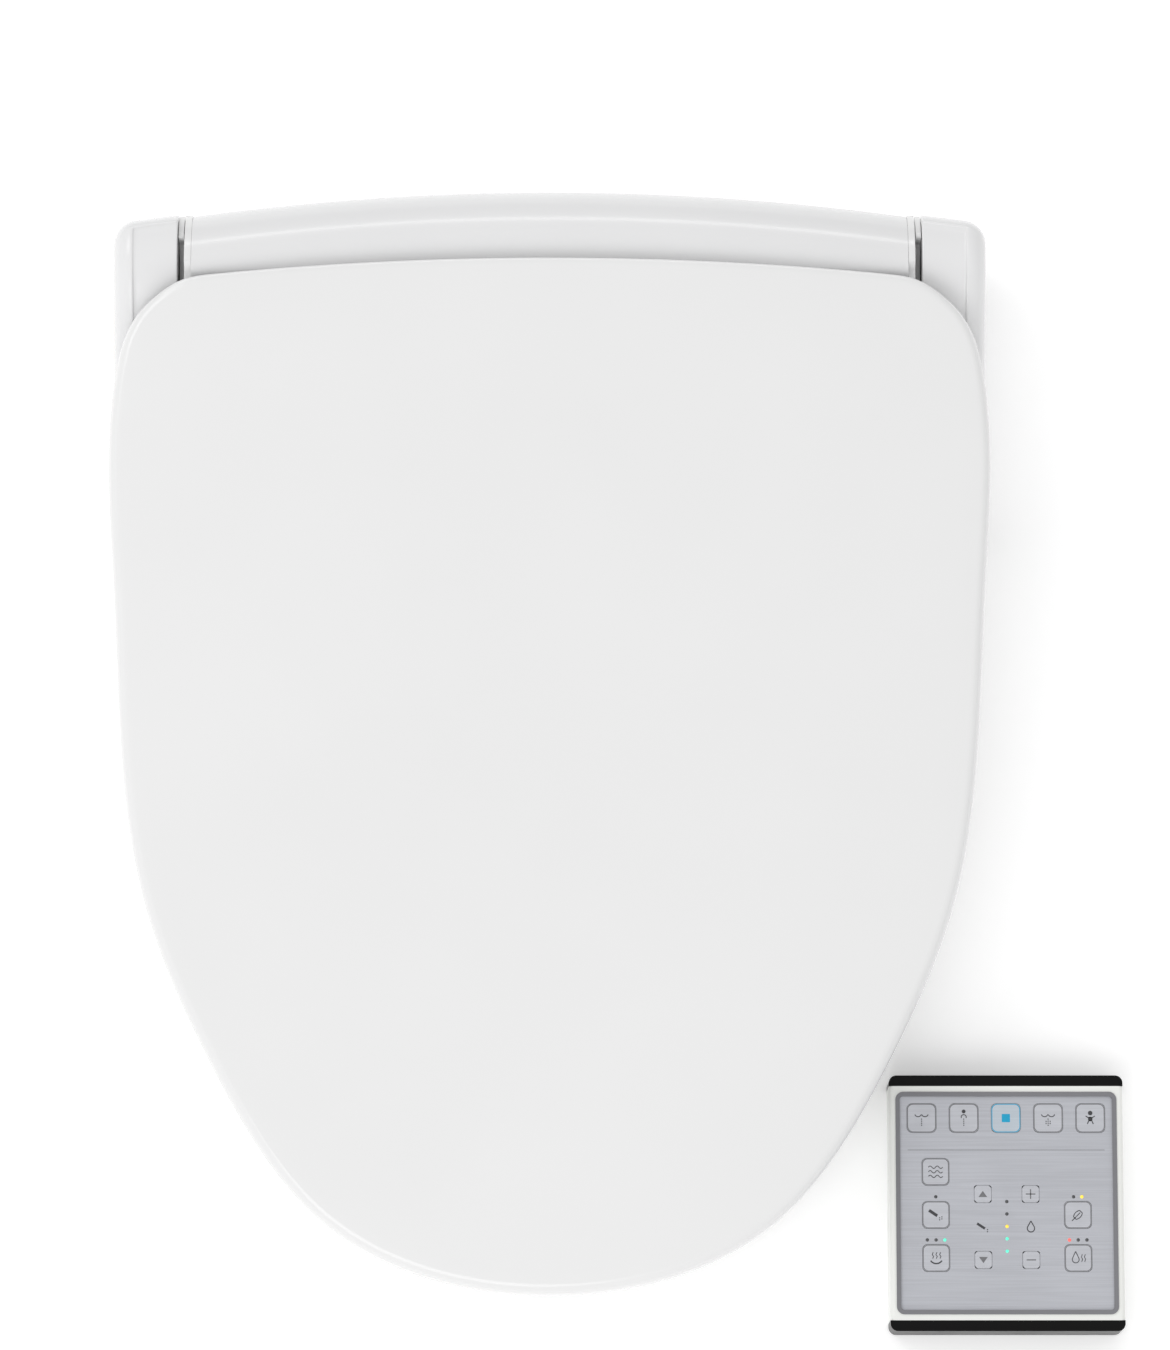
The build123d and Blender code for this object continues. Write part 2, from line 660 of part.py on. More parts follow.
def make_nozzle_guides():
    """Two bored blocks that carry the spray tube, on posts from the tray's floor."""
    guides = []
    for y_low, y_high in ((-75.5, -66.5), (-43.0, -25.0)):
        place = nozzle_station(y_low)
        length = along(y_low, y_high)
        body = Pos(1.5, 0, -length / 2) * Box(21, 16, length)
        bore = Cylinder(NOZZLE_RADIUS + 0.35, length * 3)
        slot = Pos(5.5, 0, 0) * Box(11.4, GEAR_WIDTH + 0.4, length * 3)
        post = block(-9, 12, y_low + 1.5, y_high, TRAY_BOTTOM + WALL, nozzle_station(y_high).origin.Z - 2)
        guides.append(place * body + post - place * bore - place * slot)
    return Compound(children=guides)


def make_nozzle_motor():
    """Small gear motor under the pinion, with a bearing bore for its shaft and a bracket foot."""
    can = Pos(0, 0, -3.6) * Cylinder(9.5, 10, align=(Align.CENTER, Align.CENTER, Align.MAX))
    shaft_bore = Pos(0, 0, -3) * Cylinder(1.55, 12, align=(Align.CENTER, Align.CENTER, Align.MAX))
    place = pinion_place()
    foot = block(14, 30, -62, -48, TRAY_BOTTOM + WALL, 18)
    return place * can + foot - place * shaft_bore


def make_nozzle_flap():
    """Hanging flap over the nozzle bay, with a notch that the nozzle passes through."""
    y = forward_y(FLAP_AXIS_F)
    plate = block(-31.4, 31.4, y - 1.2, y + 1.2, BAY_LOW + 1.5, FLAP_AXIS_Z)
    plate += x_rod(2.2, -31.4, 31.4, y, FLAP_AXIS_Z)
    plate += x_rod(1.2, -BAY_HALF - 2.5, BAY_HALF + 2.5, y, FLAP_AXIS_Z)
    notch = block(-13, 13, y - 5, y + 5, BAY_LOW, 22)
    arch = Pos(0, y, 22) * Rot(90, 0, 0) * Cylinder(13, 10)
    return plate - notch - arch


# ---------------------------------------------------------------- remote

def on_remote(x, y):
    """Position from the middle of the remote's face."""
    return Pos(REMOTE_X + x, REMOTE_Y + y)


def remote_rect(width, height, radius):
    """Rounded rectangle about the remote's middle."""
    return on_remote(0, 0) * RectangleRounded(width, height, radius)


TOP_KEYS = ["key_rear_wash", "key_front_wash", "key_stop", "key_strong_wash", "key_child_wash"]
TOP_KEY_X = 18.4
TOP_KEY_Y = 37.1
TOP_KEY_SIZE = 12.7
SIDE_KEY_X = 30.9
SIDE_KEY_ROWS = {"upper": 13.6, "middle": -5.2, "lower": -24.0}
SIDE_KEY_SIZE = 11.8
ARROW_X = -10.4
PRESSURE_X = 10.4
ROCKER_MIDDLE = -10.45
ROCKER_Y = 14.35
ROCKER_SIZE = 7.2
LED_COLUMN_TOP = 0.6
LED_COLUMN_STEP = 5.4


def key_places():
    """Name, middle and size of each key on the face."""
    keys = {name: (TOP_KEY_X * (i - 2), TOP_KEY_Y, TOP_KEY_SIZE) for i, name in enumerate(TOP_KEYS)}
    rows = SIDE_KEY_ROWS
    keys["key_massage"] = (-SIDE_KEY_X, rows["upper"], SIDE_KEY_SIZE)
    keys["key_nozzle_clean"] = (-SIDE_KEY_X, rows["middle"], SIDE_KEY_SIZE)
    keys["key_seat_heat"] = (-SIDE_KEY_X, rows["lower"], SIDE_KEY_SIZE)
    keys["key_eco"] = (SIDE_KEY_X, rows["middle"], SIDE_KEY_SIZE)
    keys["key_water_heat"] = (SIDE_KEY_X, rows["lower"], SIDE_KEY_SIZE)
    keys["key_nozzle_back"] = (ARROW_X, ROCKER_MIDDLE + ROCKER_Y, ROCKER_SIZE)
    keys["key_nozzle_forward"] = (ARROW_X, ROCKER_MIDDLE - ROCKER_Y, ROCKER_SIZE)
    keys["key_pressure_up"] = (PRESSURE_X, ROCKER_MIDDLE + ROCKER_Y, ROCKER_SIZE)
    keys["key_pressure_down"] = (PRESSURE_X, ROCKER_MIDDLE - ROCKER_Y, ROCKER_SIZE)
    return keys


def led_places():
    """Middles of the indicator lamps: level column, and one row above each lower side key."""
    column = [(0.0, LED_COLUMN_TOP - LED_COLUMN_STEP * i) for i in range(5)]
    rows = SIDE_KEY_ROWS
    lift = SIDE_KEY_SIZE / 2 + 2.0
    single = [(-SIDE_KEY_X, rows["middle"] + lift)]
    left = [(-SIDE_KEY_X + 3.8 * i, rows["lower"] + lift) for i in (-1, 0, 1)]
    pair = [(SIDE_KEY_X + 1.8 * i, rows["middle"] + lift) for i in (-1, 1)]
    right = [(SIDE_KEY_X + 3.8 * i, rows["lower"] + lift) for i in (-1, 0, 1)]
    return column + single + left + pair + right


LED_RADIUS = 0.75


def make_remote_back():
    """Back shell of the remote, with the battery bay open below."""
    span = REMOTE_H - 2 * REMOTE_BAND
    shell = upright(on_remote(0, 0) * Rectangle(REMOTE_W, span), 0, REMOTE_SPLIT_Z)
    shell -= upright(on_remote(0, 0) * Rectangle(REMOTE_W - 5, span - 5), 2.0, REMOTE_SPLIT_Z + 1)
    shell -= upright(on_remote(0, -17.5) * Rectangle(56.4, 65.2), -1, 1.9)
    shell -= upright(on_remote(0, -14) * Rectangle(50, 52), -1, 4)
    return shell


def make_battery_door():
    """Sliding door over the battery bay, with a finger ridge."""
    door = upright(on_remote(0, -15) * Rectangle(56, 60), 0, 1.8)
    return door - upright(on_remote(0, -30) * Rectangle(20, 1.5), -1, 0.6)


def make_remote_front():
    """Front shell of the remote, a frame with a ledge for the face plate and bezel."""
    span = REMOTE_H - 2 * REMOTE_BAND
    outer_w, outer_h = FACE_W + 2 * BEZEL, FACE_H + 2 * BEZEL
    frame = upright(on_remote(0, 0) * Rectangle(REMOTE_W, span), REMOTE_SPLIT_Z, REMOTE_TOP_Z)
    frame -= upright(remote_rect(outer_w, outer_h, 3.4), FACE_Z - FACE_PLATE, REMOTE_TOP_Z + 1)
    frame -= upright(remote_rect(FACE_W - 2, FACE_H - 2, 2.0), REMOTE_SPLIT_Z - 1, REMOTE_TOP_Z + 1)
    long_edges = frame.edges().filter_by(Axis.Y).group_by(Axis.Z)[-1]
    outside = [edge for edge in long_edges if abs(edge.center().X - REMOTE_X) > REMOTE_W / 2 - 0.1]
    return fillet(outside, 2.0)


def make_remote_bands():
    """Black end bands across the top and bottom of the remote."""
    bands = []
    for side in (1, -1):
        middle = side * (REMOTE_H - REMOTE_BAND) / 2
        band = upright(on_remote(0, middle) * Rectangle(REMOTE_W, REMOTE_BAND), 0, REMOTE_TOP_Z)
        ends = band.edges().filter_by(Axis.Z)
        outer = [edge for edge in ends if abs(edge.center().Y - REMOTE_Y) > REMOTE_H / 2 - 0.1]
        bands.append(fillet(outer, 3.3))
    return Compound(children=bands)


def make_remote_bezel():
    """Grey frame around the face plate."""
    ring = remote_rect(FACE_W + 2 * BEZEL, FACE_H + 2 * BEZEL, 3.4) - remote_rect(FACE_W, FACE_H, 1.6)
    return upright(ring, FACE_Z, REMOTE_TOP_Z + 0.5)


def make_remote_face():
    """Brushed face plate with a hole for each key and lamp."""
    plate = upright(remote_rect(FACE_W + 2 * BEZEL, FACE_H + 2 * BEZEL, 3.4), FACE_Z - FACE_PLATE, FACE_Z)
    for x, y, size in key_places().values():
        hole = on_remote(x, y) * RectangleRounded(size + 2 * KEY_GAP, size + 2 * KEY_GAP, size * 0.2)
        plate -= upright(hole, FACE_Z - 2, FACE_Z + 1)
    for x, y in led_places():
        plate -= z_rod(LED_RADIUS, REMOTE_X + x, REMOTE_Y + y, FACE_Z - 2, FACE_Z + 1)
    return plate


def make_key(x, y, size):
    """Square key cap with rounded corners."""
    cap = on_remote(x, y) * RectangleRounded(size, size, size * 0.2)
    return upright(cap, KEY_FOOT_Z, FACE_Z + 0.05)


def make_led_lenses():
    """Indicator lenses in the face plate, down to the board."""
    lenses = [
        z_rod(LED_RADIUS, REMOTE_X + x, REMOTE_Y + y, BOARD_Z + BOARD_THICK, FACE_Z)
        for x, y in led_places()
    ]
    return Compound(children=lenses)


def make_remote_board():
    """Circuit board of the remote."""
    return upright(on_remote(0, 0) * Rectangle(FACE_W - 4, FACE_H - 4), BOARD_Z, BOARD_Z + BOARD_THICK)


def make_key_domes():
    """Snap domes on the board, one under each key."""
    low = BOARD_Z + BOARD_THICK
    domes = [
        z_rod(min(3.0, size * 0.35), REMOTE_X + x, REMOTE_Y + y, low, low + 0.25)
        for x, y, size in key_places().values()
    ]
    return Compound(children=domes)


def make_cells():
    """Two AAA cells side by side, end to end along X."""
    cells = []
    for y in (-6.0, -19.0):
        body = x_rod(CELL_RADIUS, REMOTE_X - 22.0, REMOTE_X - 22.0 + CELL_LENGTH - 1.0, REMOTE_Y + y, 7.6)
        knob = x_rod(1.9, REMOTE_X - 23.0, REMOTE_X - 22.0, REMOTE_Y + y, 7.6)
        cells.append(body + knob)
    return Compound(children=cells)


def make_cell_contacts():
    """Spring plates at both ends of the cells."""
    left = block(REMOTE_X - 24.0, REMOTE_X - 23.0, REMOTE_Y - 24, REMOTE_Y - 1, 2.6, 12.5)
    right = block(REMOTE_X + 21.5, REMOTE_X + 22.5, REMOTE_Y - 24, REMOTE_Y - 1, 2.6, 12.5)
    return Compound(children=[left, right])


# ---------------------------------------------------------------- write everything

def main():
    pod = make_pod_cover()
    save("lid_panel", make_lid_panel())
    save("lid_hinge_arms", make_lid_hinge_arms())
    save("lid_bumpers", make_lid_bumpers())
    save("seat_top_shell", make_seat_top_shell())
    save("seat_bottom_plate", make_seat_bottom_plate())
    save("seat_heater_foil", make_seat_heater_foil())
    save("seat_bumpers", make_seat_bumpers())
    save("seat_hinge_arms", make_seat_hinge_arms())
    save("base_tray", make_base_tray())
    save("base_deck", make_base_deck())
    save("base_feet", make_base_feet())
    save("mounting_plate", make_mounting_plate())
    save("hinge_bar_cover", make_hinge_bar_cover())
    save("right_pod_cover", pod - release_bore())
    save("left_pod_cover", mirror(pod, about=Plane.YZ) - inlet_recess(0) + inlet_walls(TRAY_TOP, 60))
    save("hinge_pins", make_hinge_pins())
    save("lid_damper", make_damper(118.0, 150.0))
    save("seat_damper", make_damper(-150.0, -118.0))
    save("casing_screws", make_casing_screws())
    save("cord_gland", make_cord_gland())
    save("release_button", make_release_button())
    save("water_inlet_nipple", make_inlet_nipple())
    save("inlet_filter", make_inlet_filter())
    save("solenoid_valve", make_solenoid_valve())
    save("water_tubes", make_water_tubes())
    save("heater_tank", make_heater_tank())
    save("power_supply", make_power_supply())
    save("control_board", make_control_board())
    save("nozzle_tube", make_nozzle_tube())
    save("nozzle_tip", make_nozzle_tip())
    save("nozzle_rack", make_nozzle_rack())
    save("nozzle_pinion", make_pinion())
    save("nozzle_motor", make_nozzle_motor())
    save("nozzle_guides", make_nozzle_guides())
    save("nozzle_flap", make_nozzle_flap())
    save("remote_back", make_remote_back())
    save("battery_door", make_battery_door())
    save("remote_front", make_remote_front())
    save("remote_bands", make_remote_bands())
    save("remote_bezel", make_remote_bezel())
    save("remote_face", make_remote_face())
    save("remote_leds", make_led_lenses())
    save("remote_board", make_remote_board())
    save("remote_key_domes", make_key_domes())
    save("remote_cells", make_cells())
    save("remote_cell_contacts", make_cell_contacts())
    for name, (x, y, size) in key_places().items():
        save(name, make_key(x, y, size))


main()
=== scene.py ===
"""Looks of the electric bidet seat and its remote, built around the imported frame."""
import json
import math

import bmesh
import bpy
import numpy as np
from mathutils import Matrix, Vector

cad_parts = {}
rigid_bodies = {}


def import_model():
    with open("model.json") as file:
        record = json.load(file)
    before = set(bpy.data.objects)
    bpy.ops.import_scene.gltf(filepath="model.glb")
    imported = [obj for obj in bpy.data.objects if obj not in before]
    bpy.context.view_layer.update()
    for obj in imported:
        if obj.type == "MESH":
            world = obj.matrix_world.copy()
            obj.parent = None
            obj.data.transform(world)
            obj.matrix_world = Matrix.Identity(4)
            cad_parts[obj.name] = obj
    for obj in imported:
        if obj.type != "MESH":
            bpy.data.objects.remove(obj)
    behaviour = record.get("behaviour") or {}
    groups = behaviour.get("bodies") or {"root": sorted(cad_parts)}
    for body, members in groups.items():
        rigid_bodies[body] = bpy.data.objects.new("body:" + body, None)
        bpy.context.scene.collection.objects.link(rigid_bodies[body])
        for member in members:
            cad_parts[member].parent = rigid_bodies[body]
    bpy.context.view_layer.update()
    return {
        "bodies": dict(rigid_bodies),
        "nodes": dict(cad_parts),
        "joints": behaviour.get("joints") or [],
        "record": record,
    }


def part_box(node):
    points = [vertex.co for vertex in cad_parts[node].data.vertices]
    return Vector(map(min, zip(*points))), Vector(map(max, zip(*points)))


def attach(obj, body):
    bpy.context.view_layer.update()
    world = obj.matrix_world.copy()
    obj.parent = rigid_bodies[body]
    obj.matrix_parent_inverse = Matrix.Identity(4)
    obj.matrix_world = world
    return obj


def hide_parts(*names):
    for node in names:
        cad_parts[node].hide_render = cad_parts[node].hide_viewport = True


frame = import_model()
nodes = frame["nodes"]

MM = 0.001
JOINTS = {joint["name"]: joint for joint in frame["joints"]}
HINGE = Vector(JOINTS["lid_hinge"]["pos_m"])


# ---------------------------------------------------------------- geometry helpers

def add_object(name, verts, faces, smooth_angle=40.0):
    """Mesh object with merged points, outward normals and smooth shading below an angle."""
    mesh = bpy.data.meshes.new(name)
    mesh.from_pydata([tuple(v) for v in verts], [], [tuple(f) for f in faces])
    work = bmesh.new()
    work.from_mesh(mesh)
    bmesh.ops.remove_doubles(work, verts=work.verts, dist=1e-6)
    bmesh.ops.dissolve_degenerate(work, edges=work.edges, dist=1e-7)
    bmesh.ops.recalc_face_normals(work, faces=work.faces)
    work.to_mesh(mesh)
    work.free()
    thing = bpy.data.objects.new(name, mesh)
    bpy.context.scene.collection.objects.link(thing)
    mesh.shade_smooth()
    mesh.set_sharp_from_angle(angle=math.radians(smooth_angle))
    return thing


def ring_faces(ring_count, size, closed=True):
    """Quads between rings of equal size, laid one after another."""
    faces = []
    last = size if closed else size - 1
    for r in range(ring_count - 1):
        for i in range(last):
            j = (i + 1) % size
            faces.append((r * size + i, r * size + j, (r + 1) * size + j, (r + 1) * size + i))
    return faces


def cubic_through(points, count):
    """Natural cubic spline through the points, by chord length."""
    p = np.array(points, float)
    t = np.r_[0, np.cumsum(np.linalg.norm(np.diff(p, axis=0), axis=1))]
    h = np.diff(t)
    n = len(t)
    system = np.zeros((n, n))
    right = np.zeros((n, p.shape[1]))
    system[0, 0] = system[-1, -1] = 1
    for i in range(1, n - 1):
        system[i, i - 1:i + 2] = h[i - 1], 2 * (h[i - 1] + h[i]), h[i]
        right[i] = 6 * ((p[i + 1] - p[i]) / h[i] - (p[i] - p[i - 1]) / h[i - 1])
    m = np.linalg.solve(system, right)
    u = np.linspace(0, t[-1], count)
    k = np.clip(np.searchsorted(t, u, side="right") - 1, 0, n - 2)
    a = (t[k + 1] - u)[:, None]
    c = (u - t[k])[:, None]
    hk = h[k][:, None]
    low = (p[k] / hk - m[k] * hk / 6) * a
    high = (p[k + 1] / hk - m[k + 1] * hk / 6) * c
    return (m[k] * a ** 3 + m[k + 1] * c ** 3) / (6 * hk) + low + high


def resample(points, count):
    """Evenly spaced points round a closed polyline."""
    p = np.vstack([points, points[:1]])
    t = np.r_[0, np.cumsum(np.linalg.norm(np.diff(p, axis=0), axis=1))]
    u = np.linspace(0, t[-1], count + 1)[:-1]
    return np.column_stack([np.interp(u, t, p[:, k]) for k in range(p.shape[1])])


def inward(outline):
    """Unit vectors that point into a closed outline."""
    tangent = np.roll(outline, -1, axis=0) - np.roll(outline, 1, axis=0)
    tangent /= np.linalg.norm(tangent, axis=1)[:, None]
    normal = np.column_stack([-tangent[:, 1], tangent[:, 0]])
    area = np.sum(outline[:, 0] * np.roll(outline[:, 1], -1) - np.roll(outline[:, 0], -1) * outline[:, 1])
    return normal if area > 0 else -normal


def rounded_rect(width, height, radius, steps=6):
    """Closed outline of a rounded rectangle about the origin."""
    points = []
    for cx, cy, start in ((1, 1, 0), (-1, 1, 90), (-1, -1, 180), (1, -1, 270)):
        middle = np.array([cx * (width / 2 - radius), cy * (height / 2 - radius)])
        for k in range(steps + 1):
            angle = math.radians(start + 90 * k / steps)
            points.append(middle + radius * np.array([math.cos(angle), math.sin(angle)]))
    return np.array(points)


def quarter(t):
    """Quarter-circle rise from 0 to 1 as t goes from 0 to 1."""
    t = np.clip(t, 0, 1)
    return np.sqrt(1 - (1 - t) ** 2)


def smooth(t):
    """Soft step from 0 to 1."""
    t = np.clip(t, 0, 1)
    return t * t * (3 - 2 * t)


# ---------------------------------------------------------------- materials

def new_material(name):
    """Material with its node tree, shader and an object-space coordinate node."""
    made = bpy.data.materials.new(name)
    made.use_nodes = True
    tree = made.node_tree
    shader = tree.nodes["Principled BSDF"]
    coords = tree.nodes.new("ShaderNodeTexCoord")
    return made, tree, shader, coords


def noise_at(tree, coords, scale, detail=3.0, stretch=(1, 1, 1)):
    """Noise texture in object space, optionally stretched."""
    mapping = tree.nodes.new("ShaderNodeMapping")
    mapping.inputs["Scale"].default_value = stretch
    noise = tree.nodes.new("ShaderNodeTexNoise")
    noise.inputs["Scale"].default_value = scale
    noise.inputs["Detail"].default_value = detail
    tree.links.new(coords.outputs["Object"], mapping.inputs["Vector"])
    tree.links.new(mapping.outputs["Vector"], noise.inputs["Vector"])
    return noise


def ramp_between(tree, source, low, high, start=0.3, end=0.7):
    """Colour ramp from one colour to another over part of a factor's range."""
    ramp = tree.nodes.new("ShaderNodeValToRGB")
    ramp.color_ramp.elements[0].position = start
    ramp.color_ramp.elements[1].position = end
    ramp.color_ramp.elements[0].color = (*low, 1)
    ramp.color_ramp.elements[1].color = (*high, 1)
    tree.links.new(source, ramp.inputs["Fac"])
    return ramp


def grey_range(tree, source, low, high):
    """Map a factor to a number between low and high."""
    spread = tree.nodes.new("ShaderNodeMapRange")
    spread.inputs["To Min"].default_value = low
    spread.inputs["To Max"].default_value = high
    tree.links.new(source, spread.inputs["Value"])
    return spread.outputs["Result"]


def add_bump(tree, shader, source, strength, distance):
    """Bump from a factor, with a depth in metres."""
    bump = tree.nodes.new("ShaderNodeBump")
    bump.inputs["Strength"].default_value = strength
    bump.inputs["Distance"].default_value = distance
    tree.links.new(source, bump.inputs["Height"])
    tree.links.new(bump.outputs["Normal"], shader.inputs["Normal"])


def moulded(name, colour, roughness, coat=0.0, specular=0.5, grain=1400.0, depth=0.00002, spread=0.02):
    """Injection-moulded plastic: slight tone drift, uneven gloss and a fine orange-peel surface."""
    made, tree, shader, coords = new_material(name)
    drift = noise_at(tree, coords, 9.0)
    darker = [c * (1 - spread) for c in colour]
    tone = ramp_between(tree, drift.outputs["Fac"], darker, colour)
    tree.links.new(tone.outputs["Color"], shader.inputs["Base Color"])
    gloss = noise_at(tree, coords, 60.0, 4.0)
    uneven = grey_range(tree, gloss.outputs["Fac"], roughness * 0.85, roughness * 1.15)
    tree.links.new(uneven, shader.inputs["Roughness"])
    peel = noise_at(tree, coords, grain, 2.0)
    add_bump(tree, shader, peel.outputs["Fac"], 0.25, depth)
    shader.inputs["Specular IOR Level"].default_value = specular
    shader.inputs["Coat Weight"].default_value = coat
    shader.inputs["Coat Roughness"].default_value = 0.08
    return made


def brushed(name, colour, roughness, stretch, contrast=0.08, metallic=1.0):
    """Brushed metal: long fine streaks in tone, gloss and height."""
    made, tree, shader, coords = new_material(name)
    streaks = noise_at(tree, coords, 30.0, 6.0, stretch)
    darker = [c * (1 - contrast) for c in colour]
    tone = ramp_between(tree, streaks.outputs["Fac"], darker, colour, 0.35, 0.65)
    tree.links.new(tone.outputs["Color"], shader.inputs["Base Color"])
    uneven = grey_range(tree, streaks.outputs["Fac"], roughness * 0.75, roughness * 1.25)
    tree.links.new(uneven, shader.inputs["Roughness"])
    add_bump(tree, shader, streaks.outputs["Fac"], 0.15, 0.00002)
    shader.inputs["Metallic"].default_value = metallic
    shader.inputs["Anisotropic"].default_value = 0.5
    return made


def printed(name, colour, roughness=0.5):
    """Screen-printed ink with a slightly uneven film."""
    made, tree, shader, coords = new_material(name)
    film = noise_at(tree, coords, 2500.0, 2.0)
    tone = ramp_between(tree, film.outputs["Fac"], [c * 0.88 for c in colour], colour)
    tree.links.new(tone.outputs["Color"], shader.inputs["Base Color"])
    shader.inputs["Roughness"].default_value = roughness
    return made


def lamp_lens(name, colour, glow):
    """Small indicator lens, lit or dark, with a cloudy core."""
    made, tree, shader, coords = new_material(name)
    cloud = noise_at(tree, coords, 1800.0, 2.0)
    tone = ramp_between(tree, cloud.outputs["Fac"], [c * 0.8 for c in colour], colour)
    tree.links.new(tone.outputs["Color"], shader.inputs["Base Color"])
    if glow:
        tree.links.new(tone.outputs["Color"], shader.inputs["Emission Color"])
        shader.inputs["Emission Strength"].default_value = glow
    shader.inputs["Roughness"].default_value = 0.2
    shader.inputs["Coat Weight"].default_value = 0.6
    return made


def board_material(name):
    """Circuit board: green solder resist with faint copper tracks under it."""
    made, tree, shader, coords = new_material(name)
    cells = tree.nodes.new("ShaderNodeTexVoronoi")
    cells.inputs["Scale"].default_value = 320.0
    cells.distance = "CHEBYCHEV"
    tree.links.new(coords.outputs["Object"], cells.inputs["Vector"])
    tone = ramp_between(tree, cells.outputs["Distance"], (0.03, 0.2, 0.09), (0.05, 0.27, 0.13), 0.2, 0.25)
    tree.links.new(tone.outputs["Color"], shader.inputs["Base Color"])
    add_bump(tree, shader, cells.outputs["Distance"], 0.3, 0.00005)
    shader.inputs["Roughness"].default_value = 0.35
    return made


MATERIALS = {
    "shell_white": moulded("shell_white", (0.785, 0.785, 0.785), 0.2, coat=0.35),
    "base_white": moulded("base_white", (0.765, 0.765, 0.77), 0.24, coat=0.3),
    "inner_white": moulded("inner_white", (0.68, 0.68, 0.67), 0.5, grain=900.0, depth=0.00004),
    "rubber_grey": moulded("rubber_grey", (0.5, 0.5, 0.51), 0.75, grain=700.0, depth=0.00008, spread=0.12),
    "steel": brushed("steel", (0.6, 0.6, 0.61), 0.28, (1, 40, 40)),
    "brass": brushed("brass", (0.7, 0.53, 0.28), 0.3, (60, 2, 2)),
    "foil": brushed("foil", (0.72, 0.72, 0.74), 0.35, (2, 2, 2), contrast=0.2),
    "plastic_black": moulded("plastic_black", (0.035, 0.035, 0.04), 0.5, grain=900.0, depth=0.00006,
                             spread=0.2),
    "plastic_blue": moulded("plastic_blue", (0.1, 0.22, 0.45), 0.4, spread=0.1),
    "board_green": board_material("board_green"),
    "psu_metal": brushed("psu_metal", (0.5, 0.51, 0.53), 0.4, (3, 30, 3)),
    "tube_clear": moulded("tube_clear", (0.6, 0.63, 0.66), 0.35, spread=0.06),
    "acetal": moulded("acetal", (0.74, 0.73, 0.7), 0.45, spread=0.05),
    "remote_white": moulded("remote_white", (0.83, 0.84, 0.81), 0.32, coat=0.15),
    "remote_black": moulded("remote_black", (0.004, 0.004, 0.004), 0.3, specular=0.12, spread=0.3),
    "bezel_grey": moulded("bezel_grey", (0.2, 0.2, 0.215), 0.42, spread=0.1),
    "face_silver": brushed("face_silver", (0.52, 0.53, 0.57), 0.42, (1, 55, 1), 0.1, metallic=0.55),
    "key_silver": brushed("key_silver", (0.56, 0.57, 0.61), 0.38, (1, 55, 1), metallic=0.55),
    "key_stop_blue": brushed("key_stop_blue", (0.54, 0.6, 0.66), 0.38, (1, 55, 1), metallic=0.55),
    "cell": moulded("cell", (0.16, 0.18, 0.21), 0.3, coat=0.2, spread=0.1),
}
INK = printed("ink_dark", (0.045, 0.045, 0.05))
INK_GREY = printed("ink_grey", (0.17, 0.17, 0.18))
INK_CYAN = printed("ink_cyan", (0.0, 0.36, 0.6), 0.4)


def finish_piece(piece, body, slot, replaces=(), material=None):
    """Give a piece its material, picked by slot unless one is given, put it on its body and hide the CAD
    nodes that it stands for.
    """
    piece.data.materials.clear()
    piece.data.materials.append(material or MATERIALS[slot])
    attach(piece, body)
    if replaces:
        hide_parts(*replaces)
    return piece


def dress_cad_nodes():
    """Better materials for every CAD node, by the record's slots."""
    for entry in frame["record"]["subparts"]:
        material = MATERIALS.get(entry["material_slot"])
        if material:
            mesh = nodes[entry["node"]].data
            mesh.materials.clear()
            mesh.materials.append(material)


# ---------------------------------------------------------------- lid

LID_SIDE_MM = [(160.0, 18.0), (179.0, 33.5), (189.6, 67.0), (191.4, 95.0), (189.0, 150.0), (184.6, 230.0),
               (175.0, 288.0), (146.4, 357.0), (96.0, 427.0), (0.0, 456.8)]
LID_REAR_MM = 9.5
LID_SLOPE = math.tan(math.radians(5.0))
LID_TOP_MM = 37.8
LID_SKIRT_MM = 16.0
LID_LIP_MM = 5.0
LID_SKIN_MM = 3.0
LID_ROUND_MM = 4.5
LID_CROWN_MM = 1.4
CORNER_BLUR = 10.0
CORNER_REACH = 24
BAR_CLEAR_MM = 15.0
SKIRT_FULL_MM = 38.0
# Rolled foot of the skirt: inset from the outline and lift above its lowest edge, in metres.
LID_FOOT = [(0.0004, 0.0008), (0.0008, 0.0002), (0.0014, 0.0), (0.0024, 0.0), (0.0029, 0.0004),
            (0.0032, 0.0012)]
LID_WALL_INSET = 0.0060


def lid_outline(count=420):
    """Closed plan outline of the lid in metres: splined sides and nose, shallow rear arc."""
    side = [(x, -f) for x, f in LID_SIDE_MM]
    around = side + [(-x, y) for x, y in reversed(side[:-1])]
    rim = cubic_through(around, 600)
    corner_x, corner_y = side[0]
    sag = corner_y + LID_REAR_MM
    rear_x = np.linspace(-corner_x, corner_x, 120)[1:-1]
    rear = np.column_stack([rear_x, corner_y - sag * (1 - (rear_x / corner_x) ** 2)])
    fine = resample(np.vstack([rim, rear]), 2400)
    near = np.hypot(np.abs(fine[:, 0]) - corner_x, fine[:, 1] - corner_y)
    reach = np.arange(-CORNER_REACH, CORNER_REACH + 1)
    weights = np.exp(-0.5 * (reach / CORNER_BLUR) ** 2)
    blurred = sum(w * np.roll(fine, k, axis=0) for k, w in zip(reach, weights)) / weights.sum()
    share = np.clip(1.6 - near / 14.0, 0, 1)[:, None]
    outline = resample(fine + (blurred - fine) * share, count)
    return outline * MM + np.array([HINGE.x, HINGE.y])


def lid_plane_z(y):
    """Height of the lid's top plane at a y."""
    return HINGE.z + LID_TOP_MM * MM + LID_SLOPE * (y - HINGE.y)


def lid_depth(y):
    """Height of the lid's edge: a thin lip at the hinge bar that grows into the skirt."""
    forward = (HINGE.y - y) / MM
    share = smooth((forward - BAR_CLEAR_MM) / (SKIRT_FULL_MM - BAR_CLEAR_MM))
    return (LID_LIP_MM + (LID_SKIRT_MM - LID_LIP_MM) * share) * MM


